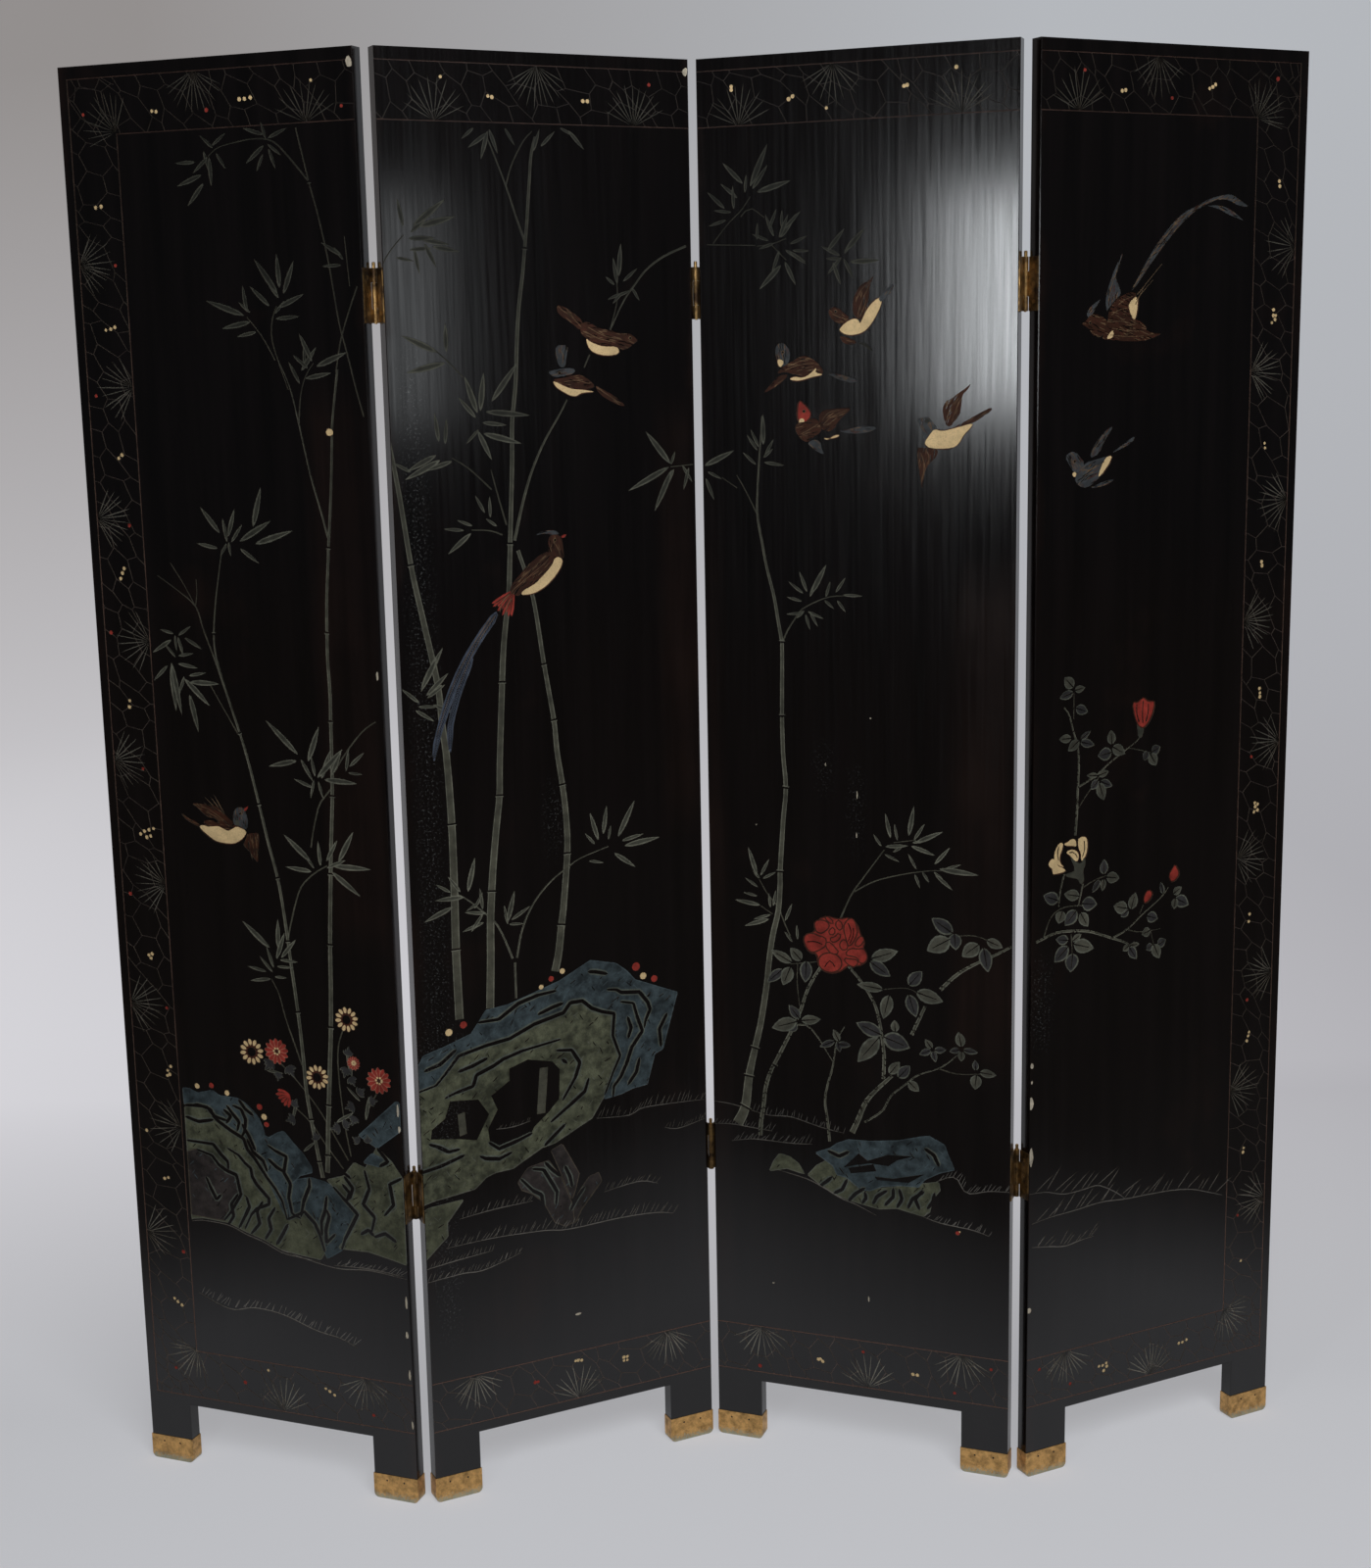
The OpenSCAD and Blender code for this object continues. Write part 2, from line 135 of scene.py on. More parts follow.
# Bamboo canes, twigs and stems: width at the first point, width at the last one, then the points
STALKS = {
    1: (
        (3, 6, 171, 1115, 177, 1099, 191, 1055, 203, 1017, 213, 981, 225, 927, 235, 879, 246, 833,
         252, 791, 256, 751, 259, 720, 265, 658, 269, 603, 271, 555, 276, 515, 281, 483, 285, 459,
         289, 437),
        (3, 1.5, 183, 1080, 175, 1115, 174, 1141, 179, 1179, 187, 1219, 193, 1247),
        (2.5, 1.5, 179, 1095, 171, 1115, 159, 1147, 150, 1175, 125, 1195, 97, 1213),
        (1.5, 1.2, 150, 1175, 135, 1202, 117, 1229),
        (1.5, 1.2, 150, 1175, 153, 1192, 153, 1209),
        (2, 1.5, 201, 1015, 180, 1050, 163, 1079),
        (3, 7, 367, 1463, 357, 1403, 355, 1379, 351, 1327, 347, 1287, 343, 1251, 340, 1219, 337, 1187,
         335, 1147, 334, 1115, 335, 1071, 334, 1037, 333, 995, 331, 943, 328, 907, 324, 859, 323, 843,
         320, 799, 317, 751, 315, 699, 312, 642, 308, 595, 303, 537, 300, 499, 298, 469, 296, 445),
        (3, 1.5, 343, 1263, 335, 1295, 323, 1339, 311, 1399, 301, 1443, 287, 1475),
        (2, 1.2, 311, 1399, 315, 1431, 323, 1455, 335, 1471),
        (2, 2, 327, 1743, 341, 1681, 351, 1643, 361, 1595, 367, 1555, 373, 1515, 381, 1483, 391, 1440,
         400, 1407),
        (2, 2, 399, 1559, 385, 1527, 373, 1495, 365, 1459),
        (2.5, 1.2, 341, 1681, 315, 1711, 295, 1729, 271, 1733, 243, 1730, 219, 1725, 205, 1715),
        (1.5, 1.2, 385, 1617, 389, 1559),
        (2.5, 2, 256, 751, 261, 771, 271, 803, 281, 825, 301, 843, 319, 853),
        (2, 2.5, 297, 875, 301, 895, 309, 923, 315, 935, 331, 953),
        (2.5, 1.5, 335, 973, 357, 1003, 379, 1027, 397, 1039),
        (1.5, 2.5, 229, 699, 239, 679, 247, 647, 259, 611, 267, 587),
        (1.5, 1.5, 289, 1539, 282, 1523, 281, 1495, 299, 1440),
        (1.5, 1.5, 247, 1527, 267, 1503, 283, 1475),
        (2, 2, 329, 639, 321, 615, 320, 575, 325, 515, 332, 471),
        (2, 2, 235, 587, 255, 569, 283, 537, 303, 507, 328, 465),
        (2, 2, 251, 531, 275, 511, 299, 479, 320, 453),
        (2, 2, 373, 559, 361, 539, 356, 523),
    ),
    2: (
        (3.5, 6, 199, 1733, 193, 1711, 189, 1675, 185, 1635, 181, 1603, 177, 1571, 171, 1535, 167, 1495,
         163, 1440, 157, 1395, 155, 1343, 149, 1248),
        (6.5, 11, 149, 1248, 145, 1187, 139, 1147, 135, 1115, 132, 1077, 125, 975, 123, 934, 117, 891,
         111, 843, 108, 812, 105, 775, 103, 720, 100, 659),
        (3, 1.5, 181, 1611, 171, 1639, 159, 1675, 145, 1711, 135, 1735),
        (2, 1.5, 159, 1675, 167, 1699, 183, 1727, 195, 1739),
        (5, 11.5, -5, 1395, 3, 1347, 9, 1307, 19, 1229, 25, 1195, 33, 1155, 47, 1080, 51, 1027, 55, 987,
         58, 904, 58, 815, 57, 743, 58, 651),
        (5, 11, 159, 1239, 177, 1179, 189, 1095, 200, 1023, 203, 983, 209, 939, 213, 895, 213, 849,
         205, 775, 202, 756, 197, 720, 191, 695),
        (4, 2, 155, 1251, 167, 1295, 181, 1335, 199, 1371, 219, 1401, 231, 1421),
        (3, 3, 136, 667, 136, 715),
        (3, 1.5, 139, 720, 147, 755, 163, 787, 187, 813, 211, 829, 231, 840, 271, 851),
        (3, 1.5, 133, 720, 123, 747, 111, 771, 95, 787, 75, 805, 63, 813),
        (1.5, 2.5, 127, 1339, 135, 1307, 145, 1271),
        (1.5, 2, 77, 1355, 99, 1341, 127, 1315),
        (2, 1.5, 139, 1259, 123, 1265, 99, 1267),
        (2, 3, 291, 1503, 311, 1539, 327, 1559, 343, 1577, 367, 1593, 399, 1606),
        (1.5, 1.5, 302, 1569, 302, 1539, 291, 1503),
        (2, 2, 255, 1459, 263, 1475),
        (1.5, 1.5, -5, 1573, 7, 1595, 27, 1617),
        (1.5, 1.5, 61, 1483, 75, 1471, 95, 1451),
        (1.5, 1.5, 371, 1333, 403, 1335),
    ),
    3: (
        (15, 9, 34, 455, 45, 479, 51, 523, 60, 563),
        (9, 5, 60, 563, 69, 601, 78, 655, 81, 683, 87, 721, 95, 755, 98, 795, 98, 807, 103, 875, 107, 919,
         104, 963, 103, 1013, 104, 1081, 104, 1109),
        (5, 2, 104, 1109, 100, 1131, 94, 1167, 85, 1203, 79, 1235, 73, 1271, 74, 1307, 77, 1347, 81, 1395),
        (2, 1.2, 73, 1271, 59, 1299, 46, 1321),
        (1.5, 1.2, 46, 1305, 26, 1318),
        (2.5, 1.2, 105, 1109, 111, 1123, 123, 1141, 133, 1153, 163, 1167, 187, 1170, 211, 1170),
        (2.5, 1.5, 180, 750, 195, 783, 213, 809, 239, 845),
        (2, 1.2, 199, 787, 227, 803, 267, 815, 299, 821, 315, 822),
        (1.5, 1.2, 251, 855, 281, 860),
        (1.5, 2, 69, 795, 81, 775, 95, 759, 103, 739, 111, 721),
        (1.5, 1.5, 71, 759, 87, 749),
        (1.5, 1.5, 56, 1639, 69, 1649, 87, 1637),
        (1.5, 1.5, 19, 1608, 39, 1631, 57, 1647, 69, 1663),
        (1.5, 1.5, 11, 1607, 75, 1604),
        (1.5, 1.5, 77, 1603, 97, 1605, 115, 1611),
        (1.5, 1.5, 95, 1605, 115, 1585),
        (6, 4, 66, 441, 67, 459, 71, 483, 74, 507, 81, 531, 93, 555, 107, 583, 115, 599, 125, 623,
         133, 647, 143, 667, 153, 683),
        (3, 1.5, 115, 599, 133, 601, 147, 587, 159, 569, 168, 555),
        (4, 1.5, 163, 443, 160, 475, 157, 499, 161, 523, 167, 543, 171, 567, 175, 587, 185, 604),
        (8, 4, 194, 459, 203, 479, 213, 503, 227, 521, 243, 537, 249, 543),
        (5, 3.5, 237, 537, 238, 567, 235, 595, 231, 619, 225, 639, 213, 659, 199, 677, 187, 689),
        (3, 1.5, 211, 475, 235, 493, 247, 515, 267, 533, 283, 547, 311, 559, 327, 571, 335, 579),
        (2, 1.2, 311, 559, 335, 554, 367, 557),
        (5, 4, 275, 601, 285, 623, 293, 641),
        (5, 3, 313, 665, 335, 687, 359, 703, 385, 717, 405, 729),
        (1.5, 1.5, 111, 683, 147, 689),
        (1.5, 1.5, 121, 687, 120, 659, 123, 627),
        (1.5, 1.5, 237, 659, 271, 663, 291, 651),
        (1.5, 1.5, 325, 736, 355, 740, 375, 735),
    ),
    4: (
        (4, 2, 65, 865, 67, 891, 68, 923, 69, 955, 67, 979, 60, 999, 53, 1021, 45, 1031),
        (1.5, 1.2, 60, 1015, 60, 1049),
        (3, 1.5, 68, 927, 95, 939, 119, 955, 147, 971, 163, 981, 165, 991),
        (1.5, 1.2, 67, 897, 81, 915, 99, 935, 111, 951),
        (1.5, 1.2, 147, 970, 167, 965, 181, 961),
        (3, 2, 78, 801, 75, 787, 71, 771),
        (3, 2, 49, 817, 43, 795, 41, 775),
        (2, 1.5, 19, 739, 29, 763, 47, 773, 71, 773, 91, 769),
        (2, 1.2, 77, 795, 95, 803, 115, 807),
        (4, 3, 7, 733, 35, 741, 59, 741, 87, 737, 107, 730, 127, 722, 143, 716, 155, 709),
        (2, 1.2, 61, 737, 63, 711),
        (3, 1.5, 127, 723, 149, 731, 175, 749, 203, 767, 215, 779),
        (2, 1.2, 149, 731, 171, 725, 203, 725),
        (1.5, 1.2, 175, 761, 169, 749),
        (1.5, 1.2, 187, 725, 193, 705),
    ),
}

# Rings across the canes
CANE_RINGS = {
    1: (
        203, 1017, 225, 927, 246, 833, 256, 751, 265, 658, 276, 515, 285, 459, 174, 1141, 343, 1251,
        335, 1147, 334, 1037, 331, 943, 323, 843, 317, 751, 312, 642, 303, 537, 298, 469, 341, 1681,
    ),
    2: (
        181, 1603, 149, 1248, 132, 1077, 123, 934, 108, 812, 19, 1229, 47, 1080, 58, 904, 57, 743,
        189, 1095, 200, 1023, 209, 939, 213, 849, 202, 756,
    ),
    3: (45, 479, 51, 523, 60, 563, 98, 807, 107, 919, 103, 1013, 104, 1109, 88, 541, 115, 599),
}

# Bamboo leaves, each from its tip to its foot
LEAVES = {
    1: (
        (159, 1710, 187, 1710), (183, 1697, 205, 1715), (160, 1683, 195, 1695), (173, 1659, 197, 1685),
        (208, 1681, 207, 1715), (195, 1741, 213, 1725), (229, 1700, 217, 1719), (255, 1746, 283, 1737),
        (315, 1743, 289, 1733), (257, 1705, 283, 1725), (271, 1695, 281, 1715), (297, 1697, 289, 1721),
        (261, 1595, 291, 1553), (315, 1591, 299, 1553), (253, 1563, 279, 1539), (243, 1565, 247, 1533),
        (190, 1548, 243, 1529), (211, 1514, 251, 1521), (327, 1552, 291, 1537), (319, 1526, 287, 1524),
        (231, 1504, 259, 1509), (317, 1507, 333, 1473), (307, 1481, 327, 1465), (301, 1473, 315, 1447),
        (381, 1483, 339, 1467), (359, 1459, 323, 1453), (353, 1611, 379, 1595), (353, 1583, 379, 1584),
        (165, 1299, 191, 1267), (157, 1254, 187, 1248), (214, 1297, 203, 1263), (253, 1324, 239, 1275),
        (265, 1283, 219, 1257), (295, 1271, 241, 1254), (245, 1230, 219, 1248), (95, 1145, 115, 1140),
        (82, 1115, 111, 1132), (156, 1121, 131, 1135), (81, 1079, 103, 1099), (120, 1035, 109, 1103),
        (143, 1015, 133, 1063), (162, 1049, 127, 1083), (178, 1078, 135, 1079), (241, 1035, 285, 993),
        (242, 976, 283, 985), (317, 1030, 299, 985), (305, 959, 289, 987), (277, 962, 303, 952),
        (349, 1003, 311, 965), (367, 960, 321, 963), (379, 1000, 357, 981), (375, 972, 355, 973),
        (258, 890, 295, 857), (258, 848, 296, 844), (358, 899, 335, 859), (335, 887, 318, 859),
        (381, 852, 327, 853), (364, 816, 325, 845), (190, 773, 228, 740), (243, 779, 241, 740),
        (213, 755, 229, 740), (194, 713, 222, 708), (197, 694, 228, 699), (269, 724, 243, 725),
        (239, 573, 214, 575), (257, 541, 249, 513), (332, 612, 339, 579), (330, 565, 349, 547),
        (339, 531, 313, 515), (362, 555, 356, 523), (281, 486, 262, 470),
    ),
    2: (
        (21, 1659, 27, 1627), (81, 1659, 39, 1627), (93, 1639, 47, 1627), (67, 1614, 33, 1613),
        (97, 1598, 63, 1604), (67, 1579, 53, 1607), (39, 1587, 17, 1591), (19, 1501, 63, 1481),
        (75, 1515, 75, 1481), (23, 1457, 73, 1468), (263, 1719, 243, 1741), (104, 1728, 120, 1741),
        (150, 1712, 140, 1740), (172, 1722, 160, 1742), (309, 1609, 305, 1569), (287, 1569, 299, 1559),
        (331, 1579, 311, 1563), (289, 1541, 307, 1548), (333, 1539, 323, 1555), (167, 1467, 131, 1421),
        (181, 1403, 123, 1409), (169, 1369, 119, 1383), (57, 1409, 61, 1375), (19, 1341, 57, 1359),
        (43, 1341, 77, 1351), (105, 1309, 117, 1287), (124, 1307, 124, 1281), (63, 1270, 89, 1267),
        (67, 1239, 98, 1263), (337, 1379, 371, 1337), (311, 1305, 369, 1333), (347, 1277, 373, 1329),
        (389, 1303, 397, 1331), (25, 1073, 47, 1113), (57, 1080, 33, 1065), (47, 1053, 21, 1055),
        (41, 1035, 17, 1051), (246, 898, 257, 861), (275, 879, 271, 860), (310, 908, 285, 862),
        (345, 855, 294, 849), (309, 819, 279, 841), (264, 830, 243, 835), (139, 809, 128, 769),
        (160, 786, 133, 771), (87, 858, 76, 815), (33, 830, 53, 817), (31, 809, 71, 809),
        (16, 783, 55, 798), (72, 790, 92, 800), (78, 762, 95, 784), (96, 812, 84, 792),
    ),
    3: (
        (43, 1352, 3, 1333), (26, 1316, 7, 1325), (15, 1289, 4, 1317), (82, 1397, 82, 1359),
        (65, 1379, 76, 1356), (54, 1350, 72, 1334), (95, 1354, 82, 1343), (110, 1333, 83, 1337),
        (164, 1209, 144, 1172), (113, 1187, 133, 1172), (111, 1167, 131, 1162), (110, 1145, 133, 1147),
        (142, 1125, 136, 1145), (160, 1140, 139, 1149), (169, 1188, 163, 1168), (174, 1153, 161, 1164),
        (189, 1193, 176, 1174), (189, 1149, 178, 1164), (211, 1170, 186, 1171), (240, 893, 247, 861),
        (224, 865, 235, 849), (278, 904, 271, 865), (316, 873, 281, 857), (306, 841, 274, 852),
        (271, 852, 240, 849), (259, 830, 239, 839), (270, 842, 281, 822), (325, 853, 305, 830),
        (363, 819, 311, 824), (329, 797, 306, 816), (298, 805, 289, 819), (286, 797, 279, 815),
        (54, 838, 66, 800), (83, 823, 71, 800), (49, 796, 67, 784), (34, 765, 70, 760), (47, 730, 82, 742),
        (82, 777, 84, 758), (114, 765, 104, 741), (120, 737, 121, 717), (103, 727, 114, 713),
        (33, 1705, 59, 1679), (92, 1725, 69, 1675), (122, 1680, 78, 1668), (12, 1671, 35, 1650),
        (46, 1677, 47, 1649), (13, 1629, 37, 1636), (103, 1647, 93, 1623), (110, 1645, 109, 1625),
        (134, 1643, 113, 1623), (78, 1631, 77, 1611), (142, 1613, 120, 1604), (79, 1550, 108, 1579),
        (127, 1554, 113, 1583), (141, 1579, 119, 1595), (145, 1595, 123, 1596), (190, 1620, 168, 1594),
        (216, 1620, 191, 1593), (235, 1581, 197, 1580), (185, 1553, 175, 1580),
    ),
}

# More bamboo leaves behind those
SMALL_LEAVES = {
    1: (
        (196, 1286, 201, 1256), (224, 1278, 207, 1256), (205, 1238, 203, 1256), (190, 1238, 200, 1254),
        (118, 1118, 117, 1138), (141, 1150, 122, 1138), (128, 1110, 121, 1136), (143, 1116, 120, 1112),
        (100, 1128, 116, 1110), (148, 1097, 119, 1102), (160, 1092, 134, 1087), (117, 1062, 127, 1086),
        (112, 1040, 108, 1098), (303, 994, 308, 966), (331, 1000, 317, 964), (300, 938, 306, 962),
        (318, 938, 312, 960), (357, 1003, 352, 975), (347, 1000, 330, 968), (307, 884, 309, 852),
        (346, 862, 318, 850), (285, 868, 300, 848), (252, 762, 238, 726), (224, 742, 233, 714),
        (213, 728, 231, 708), (268, 754, 245, 728), (252, 702, 234, 702), (262, 716, 238, 716),
        (205, 1700, 200, 1722), (232, 1742, 212, 1728), (280, 1752, 286, 1732), (306, 1712, 288, 1726),
        (272, 1580, 292, 1548), (236, 1545, 252, 1532), (300, 1545, 286, 1530), (325, 1498, 322, 1470),
        (340, 1490, 318, 1462), (370, 1605, 382, 1590), (292, 1600, 294, 1560),
    ),
    2: (
        (97, 1452, 112, 1408), (88, 1427, 110, 1402), (122, 1456, 116, 1410), (150, 1392, 118, 1396),
        (96, 1371, 113, 1388), (72, 1402, 69, 1372), (129, 1350, 112, 1386), (16, 1331, 62, 1353),
        (2, 1352, 24, 1340), (60, 1640, 36, 1620), (84, 1606, 50, 1612), (45, 1572, 40, 1600),
        (62, 1602, 34, 1600), (205, 1742, 196, 1716), (225, 1740, 206, 1722), (128, 1705, 138, 1738),
        (112, 1718, 138, 1736), (250, 1735, 232, 1744), (298, 1592, 303, 1560), (320, 1552, 306, 1546),
        (296, 1536, 310, 1550), (56, 1126, 26, 1078), (0, 1079, 22, 1060), (62, 1094, 32, 1068),
        (70, 1042, 40, 1056), (270, 905, 264, 868), (322, 862, 290, 856), (238, 872, 252, 856),
        (70, 789, 99, 784), (66, 764, 96, 773), (92, 818, 95, 790), (50, 838, 66, 816),
        (150, 764, 130, 766), (124, 792, 128, 766), (360, 1302, 376, 1330), (402, 1312, 388, 1334),
        (378, 1352, 372, 1336), (118, 1280, 132, 1270), (80, 1280, 100, 1272),
    ),
    3: (
        (79, 1599, 99, 1606), (70, 1618, 92, 1609), (88, 1641, 99, 1614), (128, 1640, 108, 1612),
        (140, 1582, 114, 1597), (96, 1570, 106, 1596), (118, 1640, 106, 1612), (64, 1690, 62, 1668),
        (30, 1680, 52, 1662), (20, 1648, 44, 1645), (92, 1700, 72, 1672), (160, 1600, 184, 1588),
        (168, 1566, 186, 1586), (201, 1560, 189, 1584), (200, 1608, 190, 1590), (166, 1585, 186, 1584),
        (60, 1372, 74, 1352), (96, 1366, 84, 1346), (128, 1200, 138, 1174), (152, 1192, 142, 1168),
        (124, 1140, 134, 1150), (152, 1130, 142, 1148), (252, 880, 256, 858), (292, 882, 278, 860),
        (300, 862, 276, 856), (250, 842, 262, 850), (340, 832, 318, 824), (318, 808, 304, 820),
        (60, 806, 70, 796), (92, 806, 74, 796), (46, 776, 66, 772), (60, 740, 84, 748), (92, 782, 88, 760),
    ),
}

# Broad leaves of the rose bushes, each from its tip to its foot with its width
PALE_ROSE_LEAVES = {
    3: (
        (84, 700, 113, 685, 14), (111, 705, 126, 689, 16), (100, 653, 111, 679, 18),
        (84, 593, 119, 605, 20), (152, 611, 125, 607, 14), (169, 599, 177, 583, 10),
        (257, 712, 221, 699, 18), (201, 663, 237, 659, 14), (237, 619, 245, 652, 18),
        (317, 649, 281, 659, 20), (202, 557, 231, 593, 22), (252, 619, 253, 603, 12),
        (337, 611, 341, 591, 14), (341, 571, 341, 585, 10), (293, 597, 302, 585, 10),
        (387, 557, 365, 559, 12), (359, 535, 361, 555, 16), (285, 525, 271, 537, 14),
        (259, 563, 245, 545, 14), (295, 715, 325, 733, 24), (341, 711, 363, 729, 20),
        (394, 727, 373, 735, 14),
    ),
    4: (
        (45, 1069, 59, 1055, 16), (77, 1054, 61, 1051, 10), (38, 991, 57, 991, 12), (52, 975, 69, 987, 14),
        (118, 996, 120, 977, 14), (141, 963, 121, 974, 16), (191, 943, 181, 959, 16),
        (116, 943, 100, 939, 10), (109, 906, 101, 929, 16), (81, 941, 99, 939, 8),
        (136, 801, 115, 805, 16), (109, 787, 111, 803, 10), (49, 791, 73, 785, 16), (41, 753, 47, 769, 18),
        (87, 743, 75, 763, 16), (77, 735, 63, 727, 10), (97, 713, 65, 723, 20), (127, 765, 149, 759, 18),
        (162, 779, 155, 757, 16), (237, 777, 223, 769, 12), (225, 748, 227, 763, 12),
        (173, 721, 187, 725, 14), (203, 685, 193, 705, 16), (143, 703, 153, 709, 10),
        (170, 709, 155, 709, 8),
    ),
}
DARK_ROSE_LEAVES = {
    3: (
        (78, 655, 100, 675, 14), (131, 659, 133, 689, 18), (108, 627, 123, 609, 14),
        (107, 590, 119, 601, 12), (150, 573, 171, 583, 10), (193, 579, 175, 579, 10),
        (178, 568, 175, 583, 9), (247, 677, 219, 695, 18), (289, 688, 271, 667, 18),
        (281, 625, 271, 655, 18), (200, 611, 235, 597, 20), (273, 583, 237, 595, 26),
        (325, 583, 339, 587, 9), (363, 585, 343, 587, 9), (285, 575, 301, 583, 10),
        (321, 585, 305, 583, 10), (307, 567, 303, 582, 9), (359, 575, 360, 561, 9),
        (273, 559, 257, 541, 16), (333, 719, 331, 741, 18), (375, 693, 369, 725, 18),
        (301, 759, 329, 741, 20),
    ),
    4: (
        (38, 1043, 59, 1049, 12), (82, 1022, 63, 1029, 14), (87, 998, 71, 988, 8), (93, 979, 71, 985, 12),
        (98, 964, 120, 967, 18), (197, 967, 183, 961, 14), (171, 951, 177, 963, 12),
        (122, 923, 103, 931, 12), (88, 922, 100, 933, 12), (111, 829, 111, 809, 14),
        (93, 787, 105, 803, 10), (17, 793, 41, 783, 18), (101, 771, 77, 775, 20), (51, 749, 69, 767, 20),
        (37, 733, 57, 729, 14), (35, 703, 57, 721, 20), (61, 686, 64, 711, 22), (139, 749, 151, 757, 12),
        (202, 788, 207, 771, 8), (249, 751, 227, 763, 18), (199, 739, 181, 745, 16),
        (213, 709, 199, 703, 14), (181, 699, 191, 705, 12), (166, 689, 153, 707, 14),
    ),
}

